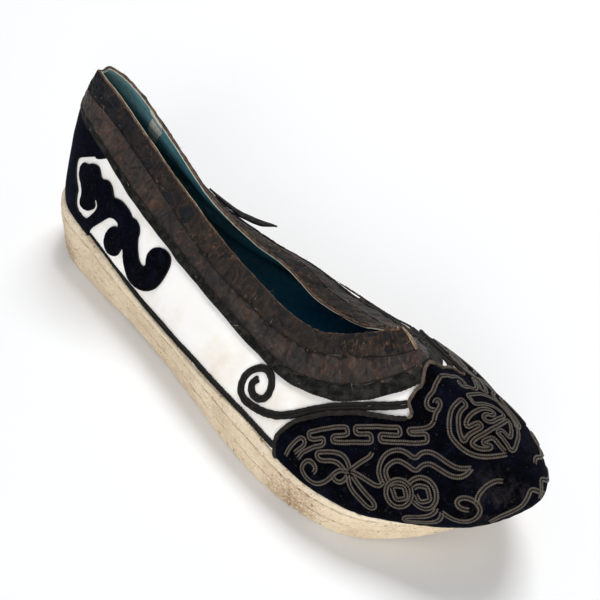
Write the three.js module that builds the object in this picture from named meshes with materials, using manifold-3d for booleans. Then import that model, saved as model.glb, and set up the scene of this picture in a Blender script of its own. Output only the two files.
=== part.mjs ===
import * as THREE from 'three';
import { mergeVertices } from 'three/addons/utils/BufferGeometryUtils.js';
import Module from 'manifold-3d';

// A low cloth shoe on a stacked cloth sole, made on a straight last, so left and right are alike.
// Millimetres, +X to the toe, +Z up, floor at z = 0, the near side is -Y.
// The upper is one wall lofted through ribs that stand on the sole's edge and end at the collar.

const wasm = await Module();
wasm.setup();

// Driving sizes
const LENGTH = 256;          // heel edge of the sole to the foremost rib of the toe
const BALL_WIDTH = 88;       // widest part of the sole
const HEEL_HEIGHT = 87;      // floor to the top of the collar at the heel
const MOUTH_WIDTH = 15;      // widest gap between the two sides of the collar, outside the wall
const SEAT_HEIGHT = 28;      // floor to the foot of the upper at the heel
const STACK_HEIGHT = 24;     // floor to the top of the sole's stack at the heel
const TOE_SPRING = 9.5;      // lift of the sole's tip off the floor
const ARCH_RISE = 1.4;       // lift of the sole under the waist
const PLY_COUNT = 4;         // ridges that show on the side of the stack
const PLY_GROOVE = 0.5;      // depth of the groove between two ridges
const WALL = 1.5;            // cloth wall of the upper
const OVERLAY = 1.0;         // velvet laid on the wall
const BROCADE = 0.8;         // brocade and tape round the collar
const INSOLE_THICKNESS = 1.6;
const INSOLE_BEVEL = 2.4;    // times its thickness that the insole stays in from the leaning wall
const BINDING_WIDTH = 9;     // dark strip along the rim of the collar
const BAND_WIDTH = 20;       // binding, brocade and trim together
const TRIM_WIDTH = 4;        // dark tape along the foot of the brocade
const FOOT_CORD = 2.3;       // diameter of the cord in the corner over the sole
const BRAID_WIDTH = 3.2;     // flat double braid of the scrolls
const BRAID_THICKNESS = 1.3;
const FLAP_LIFT = 5;         // how far the loose end of the far tape stands off
const CLEAR = 0.3;           // gap between pieces that lie on each other
const SIDE_CLEAR = 0.05;     // least distance of a layer from the middle plane, a rib away from it

const HALF = BALL_WIDTH / 2;
const GAP = MOUTH_WIDTH / 2;
const SKIN = OVERLAY + CLEAR;        // depth of the wall's outer face under the overlays
const STEPS = 64;                    // ribs drawn round the whole shoe
const WALL_ROWS = 10;                // facets up a rib of the wall

// Ribs from the heel seam to the toe's centre along the near side; the far side mirrors them.
// Columns: at and half are the plan place of the rib's foot, high its height, the same for its rim,
// then how far the rib leaves its foot outwards and upwards and its rim outwards and downwards.
// Shares of LENGTH, HALF, SEAT_HEIGHT | LENGTH, GAP, HEEL_HEIGHT | HALF, HEEL_HEIGHT, HALF, HEEL_HEIGHT
const RIB_COLUMNS = [
  'footAt', 'footHalf', 'footHigh', 'rimAt', 'rimHalf', 'rimHigh', 'out', 'up', 'lean', 'drop',
];
const RIBS = [
  [0.012, 0.00, 1.00, 0.099, 0.00, 0.990, 0.07, 0.23, 0.38, 0.19],
  [0.036, 0.31, 0.99, 0.110, 0.48, 1.000, 0.00, 0.19, 0.20, 0.20],
  [0.093, 0.54, 0.96, 0.170, 0.70, 0.950, 0.00, 0.16, 0.08, 0.19],
  [0.198, 0.64, 0.87, 0.258, 0.70, 0.800, 0.01, 0.16, 0.06, 0.17],
  [0.314, 0.70, 0.67, 0.350, 0.62, 0.645, 0.04, 0.14, 0.11, 0.12],
  [0.422, 0.78, 0.63, 0.440, 0.80, 0.560, 0.05, 0.11, 0.20, 0.07],
  [0.523, 0.87, 0.67, 0.512, 1.00, 0.527, 0.03, 0.05, 0.28, 0.03],
  [0.629, 0.92, 0.70, 0.575, 0.97, 0.478, 0.02, 0.00, 0.37, 0.03],
  [0.735, 0.96, 0.61, 0.633, 0.90, 0.493, 0.08, 0.02, 0.50, 0.05],
  [0.824, 0.83, 0.54, 0.675, 0.60, 0.548, 0.19, 0.07, 0.63, 0.10],
  [0.898, 0.54, 0.58, 0.704, 0.37, 0.606, 0.31, 0.12, 0.73, 0.16],
  [0.947, 0.28, 0.72, 0.729, 0.18, 0.659, 0.45, 0.17, 0.82, 0.22],
  [0.968, 0.00, 0.87, 0.749, 0.00, 0.716, 0.54, 0.23, 0.91, 0.26],
].map((row) => Object.fromEntries(RIB_COLUMNS.map((name, i) => [name, row[i]])));

// Sole under the same ribs. Columns: at and half of the floor edge (shares of LENGTH, HALF),
// spring (of TOE_SPRING), arch (of ARCH_RISE), seam, the top of the stack (of STACK_HEIGHT),
// and how far the stack's side has leaned over to the rib's foot at the seam.
const SOLE_COLUMNS = ['at', 'half', 'spring', 'arch', 'seam', 'lean'];
const SOLE = [
  [0.000, 0.000, 0.00, 0.0, 1.00, 0.0],
  [0.027, 0.345, 0.00, 0.0, 1.00, 0.0],
  [0.088, 0.590, 0.00, 0.0, 0.97, 0.0],
  [0.195, 0.672, 0.00, 0.1, 0.86, 0.0],
  [0.312, 0.725, 0.00, 1.0, 0.63, 0.0],
  [0.422, 0.786, 0.00, 0.3, 0.60, 0.0],
  [0.523, 0.888, 0.00, 0.0, 0.64, 0.1],
  [0.629, 0.985, 0.00, 0.0, 0.66, 0.15],
  [0.735, 0.995, 0.00, 0.0, 0.55, 0.2],
  [0.823, 0.845, 0.00, 0.0, 0.48, 0.3],
  [0.885, 0.510, 0.21, 0.0, 0.50, 0.4],
  [0.923, 0.220, 0.74, 0.0, 0.62, 0.5],
  [0.940, 0.000, 1.00, 0.0, 0.73, 0.5],
].map((row) => Object.fromEntries(SOLE_COLUMNS.map((name, i) => [name, row[i]])));

const LAST = RIBS.length - 1;        // the toe's rib; rib numbers beyond it come back on the far side
const TURN = 2 * LAST;

// Widths down from the rim, one value a rib, as shares of the named width
const BINDING_SHARES = [1.3, 1.2, 1.1, 1.0, 1.0, 1.0, 0.95, 0.9, 0.95, 1.0, 0.95, 0.9, 0.9];
const BAND_SHARES = [1.15, 1.15, 1.2, 1.15, 0.98, 0.9, 0.92, 0.98, 1.13, 1.23, 1.18, 1.05, 0.9];
const TRIM_SHARES = [0.6, 0.6, 0.6, 0.75, 0.85, 0.8, 0.7, 0.8, 1.1, 1.35, 1.35, 1.3, 1.3];

// Edge of the velvet toe cap: rib number, share of the way up that rib. It rises from the sole
// in a round lobe, runs level, then steps up in the three lobes of a cloud head at the centre.
const CAP_EDGE = [
  [7.70, 0.20], [7.85, 0.36], [8.15, 0.50], [8.50, 0.585], [9.00, 0.655], [9.55, 0.700],
  [10.1, 0.712], [10.6, 0.725], [11.05, 0.742], [11.12, 0.785], [11.3, 0.815], [11.5, 0.832],
  [11.65, 0.867], [11.85, 0.885], [12.0, 0.888],
];

// Spiral braid, from the cloud head back along the cap and round: rib number, share up the rib
const SCROLL = [
  [11.0, 0.785], [10.3, 0.758], [9.6, 0.733], [9.0, 0.692], [8.5, 0.630], [7.96, 0.520],
  [7.48, 0.395], [7.10, 0.300], [6.88, 0.310], [6.79, 0.391], [6.85, 0.484], [7.06, 0.573],
  [7.31, 0.617], [7.48, 0.588], [7.49, 0.521], [7.33, 0.440], [7.12, 0.395], [7.04, 0.440],
  [7.12, 0.500],
];

// Cord in the corner between upper and sole, from the heel velvet to the cap
const CORD_ROUTE = [
  [2.85, 0.07], [3.4, 0.06], [4.0, 0.07], [4.6, 0.10], [5.2, 0.13], [5.75, 0.16], [6.4, 0.165],
  [6.8, 0.165], [7.15, 0.18], [7.5, 0.20],
];

// Loose end of the far tape. Columns: rib number, share up the rib of its lower and upper edge,
// share of FLAP_LIFT that the lower edge stands off the skin
const FLAP = [
  [3.30, 0.47, 0.52, 0.00], [3.60, 0.44, 0.56, 0.15], [3.95, 0.42, 0.585, 0.35],
  [4.30, 0.43, 0.60, 0.60], [4.60, 0.46, 0.59, 0.85], [4.80, 0.51, 0.55, 1.00],
];

// Heel velvet in side view, shares of LENGTH back from and above the sole's point at VELVET_AT:
// the border behind the heel and the cloud scroll grow from one stem on the sole.
const VELVET_AT = 0.172;
const STEM = [[0.000, 0.085], [0.010, 0.118], [0.033, 0.148], [0.052, 0.158], [0.067, 0.155]];
const MID_BALL = [
  [0.074, 0.145], [0.062, 0.148], [0.053, 0.140], [0.051, 0.125], [0.059, 0.112], [0.077, 0.109],
  [0.094, 0.118],
];
const TAIL = [
  [0.110, 0.114], [0.128, 0.098], [0.153, 0.092], [0.182, 0.102], [0.197, 0.121], [0.196, 0.142],
  [0.186, 0.155], [0.166, 0.158], [0.150, 0.150], [0.145, 0.137],
];
const BACK = [
  [0.139, 0.130], [0.126, 0.140], [0.114, 0.157], [0.108, 0.168], [0.092, 0.170], [0.079, 0.179],
  [0.062, 0.184], [0.048, 0.178], [0.036, 0.188], [0.022, 0.196], [0.006, 0.192], [-0.003, 0.202],
  [-0.018, 0.208], [-0.036, 0.204], [-0.055, 0.195], [-0.060, 0.180], [-0.054, 0.168],
  [-0.042, 0.157], [-0.040, 0.143], [-0.026, 0.133], [-0.008, 0.138], [0.002, 0.150],
];
const INSET = [
  [0.005, 0.142], [-0.010, 0.122], [-0.034, 0.126], [-0.058, 0.142], [-0.068, 0.172],
  [-0.073, 0.194], [-0.053, 0.210], [-0.033, 0.221], [-0.012, 0.221], [0.000, 0.216],
];
const VELVET_TOP = 0.35;             // above every edge of the heel velvet
const VELVET_END = 4.8;              // rib past the scroll's tail

const at = (share) => (share - 0.5) * LENGTH;
const mirrored = (rows) => [...rows, ...rows.slice(1, LAST).reverse().map((p) => p.clone().setY(-p.y))];
const loop = (rows) => new THREE.CatmullRomCurve3(mirrored(rows), true, 'catmullrom', 0.5);

// Four loops round the shoe carry the ribs: feet, two handles and rims
const feet = RIBS.map((r) => new THREE.Vector3(at(r.footAt), -r.footHalf * HALF, r.footHigh * SEAT_HEIGHT));
const rims = RIBS.map((r) => new THREE.Vector3(at(r.rimAt), -r.rimHalf * GAP, r.rimHigh * HEEL_HEIGHT));
const outwards = feet.map((foot, i) => {
  const before = i ? feet[i - 1] : feet[1].clone().setY(-feet[1].y);
  const after = i < LAST ? feet[i + 1] : feet[LAST - 1].clone().setY(-feet[LAST - 1].y);
  return new THREE.Vector3(after.y - before.y, before.x - after.x, 0).normalize();
});
const handle = (from, i, out, up) => from.clone().addScaledVector(outwards[i], out * HALF)
  .add(new THREE.Vector3(0, 0, up * HEEL_HEIGHT));
const footLoop = loop(feet);
const lowLoop = loop(RIBS.map((r, i) => handle(feet[i], i, r.out, r.up)));
const highLoop = loop(RIBS.map((r, i) => handle(rims[i], i, r.lean, -r.drop)));
const rimLoop = loop(rims);

// Rib numbers round the shoe, closer together where the collar's sides meet over the toe
const CLOSE = 1.6;
const ROUND = Array.from({ length: 2 * STEPS }, (_, i) => (i * TURN) / (2 * STEPS))
  .filter((rib, i) => i % 2 === 0 || Math.abs(rib - LAST) < CLOSE);

const wrap = (rib) => ((rib % TURN) + TURN) % TURN;
const onLoop = (curve, rib) => curve.getPoint(wrap(rib) / TURN);
const ribCurve = (rib) => new THREE.CubicBezierCurve3(
  ...[footLoop, lowLoop, highLoop, rimLoop].map((curve) => onLoop(curve, rib)));

// A value for any rib number from one value a rib, the same on both sides
function alongRibs(values, rib) {
  const near = Math.min(wrap(rib), TURN - wrap(rib));
  const i = Math.min(Math.floor(near), LAST - 1);
  return THREE.MathUtils.lerp(values[i], values[i + 1], near - i);
}

// The same from pairs of rib number and value
function alongPairs(pairs, rib) {
  const near = Math.min(wrap(rib), TURN - wrap(rib));
  const i = Math.max(1, pairs.findIndex(([number]) => number >= near));
  const [[a, low], [b, high]] = [pairs[i - 1], pairs[i]];
  return THREE.MathUtils.lerp(low, high, THREE.MathUtils.clamp((near - a) / (b - a), 0, 1));
}

// Share up a rib at a distance down from its rim
function downFromRim(rib, distance) {
  const curve = ribCurve(rib);
  return curve.getUtoTmapping(0, Math.max(0, curve.getLength() - distance));
}

function planNormal(rib) {
  const t = onLoop(footLoop, rib + 0.05).sub(onLoop(footLoop, rib - 0.05));
  return new THREE.Vector3(t.y, -t.x, 0).normalize();
}

function skinNormal(rib, up) {
  const step = 0.02;
  const low = THREE.MathUtils.clamp(up - step, 0, 1 - 2 * step);
  const climb = ribCurve(rib).getPoint(low + 2 * step).sub(ribCurve(rib).getPoint(low));
  const along = ribCurve(rib + step).getPoint(up).sub(ribCurve(rib - step).getPoint(up));
  return along.cross(climb).normalize();
}

// Height of the sole's flat-ruled top under a place along the shoe
const SEAT = ROUND.filter((rib) => rib <= LAST).map((rib) => onLoop(footLoop, rib));
function seatHeight(x) {
  const i = THREE.MathUtils.clamp(SEAT.findIndex((point) => point.x > x), 1, SEAT.length - 1);
  const front = x >= SEAT[SEAT.length - 1].x ? SEAT.length - 1 : i;
  const [a, b] = [SEAT[front - 1], SEAT[front]];
  return THREE.MathUtils.lerp(a.z, b.z, THREE.MathUtils.clamp((x - a.x) / (b.x - a.x), 0, 1));
}

// Inward direction at a place on the skin. Where the collar's two sides all but touch it turns up
// along the middle plane, so that no layer reaches past that plane.
function inward(rib, up, point) {
  const normal = skinNormal(rib, up).negate();
  const turned = wrap(rib);
  const stand = SIDE_CLEAR * Math.min(turned, Math.abs(turned - LAST), TURN - turned);
  const room = Math.max(0, Math.abs(point.y) - stand) / (SKIN + WALL);
  if (Math.abs(normal.y) > room) {
    const rest = Math.sqrt((1 - room ** 2) / (normal.x ** 2 + normal.z ** 2));
    normal.set(normal.x * rest, Math.sign(normal.y) * room, normal.z * rest);
  }
  return normal;
}

// A point of the shoe at a depth under its skin; at the foot the depth is measured in plan
function skin(rib, up, depth) {
  const point = ribCurve(rib).getPoint(up);
  if (up <= 0) {
    point.addScaledVector(planNormal(rib), -depth);
    return point.setZ(seatHeight(point.x) + CLEAR);
  }
  point.addScaledVector(inward(rib, up, point), depth);
  return point.setZ(Math.max(point.z, seatHeight(point.x) + CLEAR * (1 + up)));
}

// A closed solid from a grid of outer points and the inner points behind them
function slab(outer, inner, closed) {
  const columns = outer.length;
  const rows = outer[0].length;
  const points = [...outer.flat(), ...inner.flat()];
  const id = (i, j, back) => (i % columns) * rows + j + (back ? columns * rows : 0);
  const faces = [];
  const quad = (a, b, c, d) => faces.push(a, b, c, a, c, d);
  const spans = closed ? columns : columns - 1;
  for (let i = 0; i < spans; i += 1) {
    for (let j = 0; j < rows - 1; j += 1) {
      quad(id(i, j), id(i + 1, j), id(i + 1, j + 1), id(i, j + 1));
      quad(id(i, j, 1), id(i, j + 1, 1), id(i + 1, j + 1, 1), id(i + 1, j, 1));
    }
    quad(id(i + 1, 0), id(i, 0), id(i, 0, 1), id(i + 1, 0, 1));
    quad(id(i, rows - 1), id(i + 1, rows - 1), id(i + 1, rows - 1, 1), id(i, rows - 1, 1));
  }
  for (let j = 0; !closed && j < rows - 1; j += 1) {
    quad(id(0, j), id(0, j + 1), id(0, j + 1, 1), id(0, j, 1));
    const end = columns - 1;
    quad(id(end, j + 1), id(end, j), id(end, j, 1), id(end, j + 1, 1));
  }
  return geometryOf(points, faces);
}

function geometryOf(points, faces) {
  const geometry = new THREE.BufferGeometry().setFromPoints(points);
  geometry.setIndex(faces);
  return geometry;
}

// Ribs of an open strip between two rib numbers, with its own ends
function ribsBetween(first, last) {
  const inside = [...ROUND.map((rib) => rib - TURN), ...ROUND]
    .filter((rib) => rib > first + 0.1 && rib < last - 0.1);
  return [first, ...inside, last];
}

// A piece of cloth on the skin, between two edges given as shares up each rib. Where a tall piece
// starts at the foot, its lower rows keep to the wall's own rows, so that both bulge alike.
function cloth({ ribs, low, high, rows, top = 0, depth = OVERLAY, closed = false }) {
  const shareOf = (rib, j) => {
    const [from, to] = [low(rib), high(rib)];
    const shared = from === 0 ? Math.min(rows - 1, Math.floor(to * WALL_ROWS - 0.5)) : 0;
    if (shared < rows / 2) return THREE.MathUtils.lerp(from, to, j / rows);
    if (j <= shared) return j / WALL_ROWS;
    return THREE.MathUtils.lerp(shared / WALL_ROWS, to, (j - shared) / (rows - shared));
  };
  const sheet = (under) => ribs.map((rib) => (
    Array.from({ length: rows + 1 }, (_, j) => skin(rib, shareOf(rib, j), under))));
  return slab(sheet(top), sheet(top + depth), closed);
}

// Rings across the sole, each closed by flat strips from side to side
function plate(rings) {
  const count = rings[0].length;
  const points = rings.flat();
  const faces = [];
  for (let k = 0; k < rings.length - 1; k += 1) {
    for (let i = 0; i < count; i += 1) {
      const [a, b] = [k * count + i, k * count + ((i + 1) % count)];
      faces.push(a, b, b + count, a, b + count, a + count);
    }
  }
  const top = (rings.length - 1) * count;
  for (let i = 0; i < count / 2; i += 1) {
    const [a, b, c, d] = [i, i + 1, (count - i - 1) % count, (count - i) % count];
    if (d !== a) faces.push(a, d, c, top + a, top + c, top + d);
    if (b !== c) faces.push(a, c, b, top + a, top + b, top + c);
  }
  return geometryOf(points, faces);
}

// The sole's own loops: its edge on the floor and the seam between stack and top ply
const floorLoop = loop(SOLE.map((s) => new THREE.Vector3(
  at(s.at), -s.half * HALF, s.spring * TOE_SPRING + s.arch * ARCH_RISE)));
const seamLoop = loop(SOLE.map((s, i) => new THREE.Vector3(
  THREE.MathUtils.lerp(at(s.at), feet[i].x, s.lean),
  -THREE.MathUtils.lerp(s.half * HALF, -feet[i].y, s.lean),
  s.seam * STACK_HEIGHT)));

function soleStack() {
  const ring = (share, inset) => ROUND.map((rib) => {
    const point = onLoop(floorLoop, rib).lerp(onLoop(seamLoop, rib), share);
    point.addScaledVector(planNormal(rib), -inset);
    return point.setZ(Math.max(point.z, 0));
  });
  const rings = [ring(0, PLY_GROOVE)];
  for (let ply = 0; ply < PLY_COUNT; ply += 1) {
    const [low, high] = [ply / PLY_COUNT, (ply + 1) / PLY_COUNT];
    rings.push(ring(THREE.MathUtils.lerp(low, high, 0.4), 0));
    rings.push(ring(high, PLY_GROOVE));
  }
  return plate(rings);
}

function topPly() {
  const low = ROUND.map((rib) => onLoop(seamLoop, rib).addScaledVector(planNormal(rib), -PLY_GROOVE)
    .add(new THREE.Vector3(0, 0, CLEAR)));
  const high = ROUND.map((rib) => onLoop(footLoop, rib));
  const belly = (share, out) => low.map((point, i) => point.clone().lerp(high[i], share)
    .addScaledVector(planNormal(ROUND[i]), out));
  return plate([low, belly(0.15, CLEAR), belly(0.6, CLEAR), high]);
}

function insole() {
  const inset = SKIN + WALL + CLEAR + INSOLE_BEVEL * INSOLE_THICKNESS;
  const ring = (lift) => ROUND.map((rib) => {
    const point = onLoop(footLoop, rib).addScaledVector(planNormal(rib), -inset);
    return point.setZ(seatHeight(point.x) + CLEAR + lift);
  });
  return plate([ring(0), ring(INSOLE_THICKNESS)]);
}

// Edges of the collar's strips and of the cap, as shares up a rib
const bindingEdge = (rib) => downFromRim(rib, BINDING_WIDTH * alongRibs(BINDING_SHARES, rib));
const bandEdge = (rib) => downFromRim(rib, BAND_WIDTH * alongRibs(BAND_SHARES, rib));
const trimEdge = (rib) => downFromRim(
  rib, BAND_WIDTH * alongRibs(BAND_SHARES, rib) - TRIM_WIDTH * alongRibs(TRIM_SHARES, rib));
const capEdge = (rib) => alongPairs(CAP_EDGE, rib);
const seamGap = (rib) => CLEAR / ribCurve(rib).getLength();
const CAP_END = CAP_EDGE[0][0];
const overCap = (rib, share) => (
  wrap(rib) < CAP_END || wrap(rib) > TURN - CAP_END ? share : Math.max(share, capEdge(rib) + seamGap(rib)));
const TRIM_END = 11.4;

// A strip of round or flat section along a route on the skin; lift is its middle over the wall
function laid(route, width, thickness, sides, steps, mirror) {
  const path = new THREE.CatmullRomCurve3(
    route.map(([rib, up]) => new THREE.Vector3(rib, up, 0)), false, 'centripetal');
  const middle = CLEAR + thickness / 2 - SKIN;
  const places = Array.from({ length: steps + 1 }, (_, i) => path.getPoint(i / steps));
  const centres = places.map(({ x, y }) => skin(x, y, -middle));
  const outer = centres.map((centre, i) => {
    const ahead = centres[Math.min(i + 1, steps)].clone().sub(centres[Math.max(i - 1, 0)]).normalize();
    const normal = skinNormal(places[i].x, places[i].y);
    const across = normal.clone().cross(ahead).normalize();
    return Array.from({ length: sides }, (_, k) => {
      const angle = (2 * Math.PI * (k + 0.5)) / sides;
      return centre.clone().addScaledVector(across, (Math.cos(angle) * width) / 2)
        .addScaledVector(normal, (Math.sin(angle) * thickness) / 2);
    });
  });
  const faces = [];
  for (let i = 0; i < steps; i += 1) {
    for (let k = 0; k < sides; k += 1) {
      const [a, b] = [i * sides + k, i * sides + ((k + 1) % sides)];
      faces.push(a, b, b + sides, a, b + sides, a + sides);
    }
  }
  const last = steps * sides;
  for (let k = 1; k < sides - 1; k += 1) faces.push(0, k + 1, k, last, last + k, last + k + 1);
  const points = outer.flat();
  if (!mirror) return geometryOf(points, faces);
  points.forEach((point) => point.setY(-point.y));
  return geometryOf(points, faces.reverse());
}

const solidOf = (geometry) => {
  geometry.deleteAttribute('normal');
  geometry.deleteAttribute('uv');
  const merged = mergeVertices(geometry, 1e-4);
  return new wasm.Manifold(new wasm.Mesh({
    numProp: 3,
    vertProperties: new Float32Array(merged.attributes.position.array),
    triVerts: new Uint32Array(merged.index.array),
  }));
};

const meshOf = (solid) => {
  const { vertProperties, triVerts } = solid.getMesh();
  const geometry = new THREE.BufferGeometry();
  geometry.setAttribute('position', new THREE.BufferAttribute(new Float32Array(vertProperties), 3));
  geometry.setIndex(new THREE.BufferAttribute(new Uint32Array(triVerts), 1));
  return geometry;
};

// The velvet at the heel: its outline, pushed across the shoe, cuts it out of a shell on the skin
function heelVelvet() {
  const side = ([x, z]) => new THREE.Vector2(at(VELVET_AT + x), z * LENGTH);
  const outline = new THREE.Shape();
  outline.moveTo(at(VELVET_AT), 0);
  outline.lineTo(...side(STEM[0]));
  outline.splineThru(STEM.slice(1).map(side));
  outline.splineThru(MID_BALL.map(side));
  outline.splineThru(TAIL.map(side));
  outline.splineThru(BACK.map(side));
  outline.splineThru(INSET.map(side));
  outline.lineTo(at(VELVET_AT), VELVET_TOP * LENGTH);
  outline.lineTo(at(-1 / 2), VELVET_TOP * LENGTH);
  outline.lineTo(at(-1 / 2), 0);
  const across = new THREE.ExtrudeGeometry(outline, {
    depth: BALL_WIDTH, bevelEnabled: false, curveSegments: 1,
  });
  across.rotateX(Math.PI / 2).translate(0, HALF, 0);
  const shell = cloth({
    ribs: ribsBetween(-VELVET_END, VELVET_END),
    low: () => 0,
    high: (rib) => bandEdge(rib) - seamGap(rib),
    rows: 6,
  });
  return meshOf(solidOf(shell).intersect(solidOf(across)));
}

// The loose end lies on the tape along its upper edge and curls away below it
function bandFlap() {
  const rows = 4;
  const sheet = (under) => FLAP.map(([rib, low, high, off]) => Array.from({ length: rows + 1 }, (_, j) => {
    const share = j / rows;
    const lift = off * FLAP_LIFT * (1 - share ** 2);
    return skin(TURN - rib, THREE.MathUtils.lerp(low, high, share), under - CLEAR - BROCADE - lift);
  }));
  return slab(sheet(0).reverse(), sheet(BROCADE).reverse(), false);
}

const CLOTH = {
  canvas: { color: 0xd8cbb0, roughness: 0.95 },
  white: { color: 0xeeeae2, roughness: 0.9 },
  velvet: { color: 0x10131f, roughness: 1.0 },
  brocade: { color: 0x3a2c27, roughness: 0.7 },
  tape: { color: 0x1c2229, roughness: 0.9 },
  braid: { color: 0x15130f, roughness: 0.85 },
  lining: { color: 0x1e4a56, roughness: 0.9 },
};

const shoe = new THREE.Group();
function add(name, geometry, finish) {
  const mesh = new THREE.Mesh(geometry, new THREE.MeshStandardMaterial({ metalness: 0, ...finish }));
  mesh.name = name;
  shoe.add(mesh);
}

add('sole_stack', soleStack(), CLOTH.canvas);
add('sole_top_ply', topPly(), CLOTH.white);
add('insole', insole(), CLOTH.lining);
add('upper', cloth({
  ribs: ROUND, low: () => 0, high: () => 1, rows: WALL_ROWS, top: SKIN, depth: WALL, closed: true,
}), CLOTH.white);
add('toe_cap', cloth({
  ribs: ribsBetween(CAP_END, TURN - CAP_END), low: () => 0, high: capEdge, rows: 8,
}), CLOTH.velvet);
add('heel_velvet', heelVelvet(), CLOTH.velvet);
add('collar_binding', cloth({
  ribs: ROUND,
  low: (rib) => bindingEdge(rib) + seamGap(rib),
  high: () => 1,
  rows: 2,
  depth: BROCADE,
  closed: true,
}), CLOTH.tape);
add('collar_band', cloth({
  ribs: ROUND,
  low: (rib) => overCap(rib, trimEdge(rib) + seamGap(rib)),
  high: bindingEdge,
  rows: 2,
  depth: BROCADE,
  closed: true,
}), CLOTH.brocade);
add('collar_trim', cloth({
  ribs: ribsBetween(-TRIM_END, TRIM_END),
  low: (rib) => overCap(rib, bandEdge(rib)),
  high: (rib) => Math.max(trimEdge(rib), overCap(rib, bandEdge(rib)) + 2 * seamGap(rib)),
  rows: 1,
  depth: BROCADE,
}), CLOTH.tape);
add('band_flap', bandFlap(), CLOTH.tape);
for (const [side, mirror] of [['near', false], ['far', true]]) {
  add(`foot_cord_${side}`, laid(CORD_ROUTE, FOOT_CORD, FOOT_CORD, 5, 30, mirror), CLOTH.braid);
  add(`scroll_braid_${side}`, laid(SCROLL, BRAID_WIDTH, BRAID_THICKNESS, 4, 46, mirror), CLOTH.braid);
}

// The origin is midway along the floor
const box = new THREE.Box3().setFromObject(shoe);
shoe.position.x = -(box.min.x + box.max.x) / 2;

export default shoe;
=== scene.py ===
import math

import bpy
import numpy as np
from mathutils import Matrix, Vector


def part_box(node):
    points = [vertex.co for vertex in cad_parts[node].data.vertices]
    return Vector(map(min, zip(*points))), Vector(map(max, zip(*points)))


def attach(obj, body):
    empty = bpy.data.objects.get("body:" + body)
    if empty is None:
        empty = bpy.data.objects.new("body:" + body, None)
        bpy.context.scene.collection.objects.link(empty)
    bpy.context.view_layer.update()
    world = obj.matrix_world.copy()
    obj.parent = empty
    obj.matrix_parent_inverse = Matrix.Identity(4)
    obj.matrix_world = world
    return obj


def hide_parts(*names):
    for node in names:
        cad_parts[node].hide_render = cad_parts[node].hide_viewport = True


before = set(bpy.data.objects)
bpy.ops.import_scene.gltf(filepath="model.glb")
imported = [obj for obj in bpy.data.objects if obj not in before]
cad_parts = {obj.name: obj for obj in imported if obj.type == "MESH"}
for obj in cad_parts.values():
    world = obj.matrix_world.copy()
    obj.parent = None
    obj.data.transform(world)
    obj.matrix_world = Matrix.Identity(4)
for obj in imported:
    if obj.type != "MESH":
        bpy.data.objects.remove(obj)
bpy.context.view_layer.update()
print("frame loaded")

# camera at the photograph's angle, aimed at the one shoe
camera = dict(place=(0.1744, -0.1698, 0.2489), aim=(0.0052, 0.0143, 0.025), roll=5.01, lens=50)
bpy.ops.object.camera_add(location=camera["place"])
cameraObject = bpy.context.object
look = (Vector(camera["aim"]) - Vector(camera["place"])).to_track_quat("-Z", "Y")
cameraObject.rotation_euler = look.to_euler()
cameraObject.rotation_euler.rotate_axis("Z", math.radians(camera["roll"]))
cameraObject.data.lens = camera["lens"]
cameraObject.data.clip_start = 0.01
bpy.context.scene.camera = cameraObject

# the shoe's own sizes, as in the part's source, in metres
shoe = dict(length=0.256, half=0.044, gap=0.0075, heel=0.087, seat=0.028, stack=0.024, spring=0.0095,
            arch=0.0014, overlay=0.001, wall=0.0015, clear=0.0003, binding=0.009, band=0.020, trim=0.004)
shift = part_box("sole_stack")[0].x + shoe["length"] / 2
wallDepth = shoe["overlay"] + shoe["clear"]

# ribs from the heel seam to the toe: foot at, half, high | rim at, half, high | out, up, lean, drop
ribRows = np.array([
    [0.012, 0.00, 1.00, 0.099, 0.00, 0.990, 0.07, 0.23, 0.38, 0.19],
    [0.036, 0.31, 0.99, 0.110, 0.48, 1.000, 0.00, 0.19, 0.20, 0.20],
    [0.093, 0.54, 0.96, 0.170, 0.70, 0.950, 0.00, 0.16, 0.08, 0.19],
    [0.198, 0.64, 0.87, 0.258, 0.70, 0.800, 0.01, 0.16, 0.06, 0.17],
    [0.314, 0.70, 0.67, 0.350, 0.62, 0.645, 0.04, 0.14, 0.11, 0.12],
    [0.422, 0.78, 0.63, 0.440, 0.80, 0.560, 0.05, 0.11, 0.20, 0.07],
    [0.523, 0.87, 0.67, 0.512, 1.00, 0.527, 0.03, 0.05, 0.28, 0.03],
    [0.629, 0.92, 0.70, 0.575, 0.97, 0.478, 0.02, 0.00, 0.37, 0.03],
    [0.735, 0.96, 0.61, 0.633, 0.90, 0.493, 0.08, 0.02, 0.50, 0.05],
    [0.824, 0.83, 0.54, 0.675, 0.60, 0.548, 0.19, 0.07, 0.63, 0.10],
    [0.898, 0.54, 0.58, 0.704, 0.37, 0.606, 0.31, 0.12, 0.73, 0.16],
    [0.947, 0.28, 0.72, 0.729, 0.18, 0.659, 0.45, 0.17, 0.82, 0.22],
    [0.968, 0.00, 0.87, 0.749, 0.00, 0.716, 0.54, 0.23, 0.91, 0.26],
])
# sole under the same ribs: at, half, spring, arch, seam, lean
soleRows = np.array([
    [0.000, 0.000, 0.00, 0.0, 1.00, 0.0], [0.027, 0.345, 0.00, 0.0, 1.00, 0.0],
    [0.088, 0.590, 0.00, 0.0, 0.97, 0.0], [0.195, 0.672, 0.00, 0.1, 0.86, 0.0],
    [0.312, 0.725, 0.00, 1.0, 0.63, 0.0], [0.422, 0.786, 0.00, 0.3, 0.60, 0.0],
    [0.523, 0.888, 0.00, 0.0, 0.64, 0.1], [0.629, 0.985, 0.00, 0.0, 0.66, 0.15],
    [0.735, 0.995, 0.00, 0.0, 0.55, 0.2], [0.823, 0.845, 0.00, 0.0, 0.48, 0.3],
    [0.885, 0.510, 0.21, 0.0, 0.50, 0.4], [0.923, 0.220, 0.74, 0.0, 0.62, 0.5],
    [0.940, 0.000, 1.00, 0.0, 0.73, 0.5],
])
lastRib = len(ribRows) - 1
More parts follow.
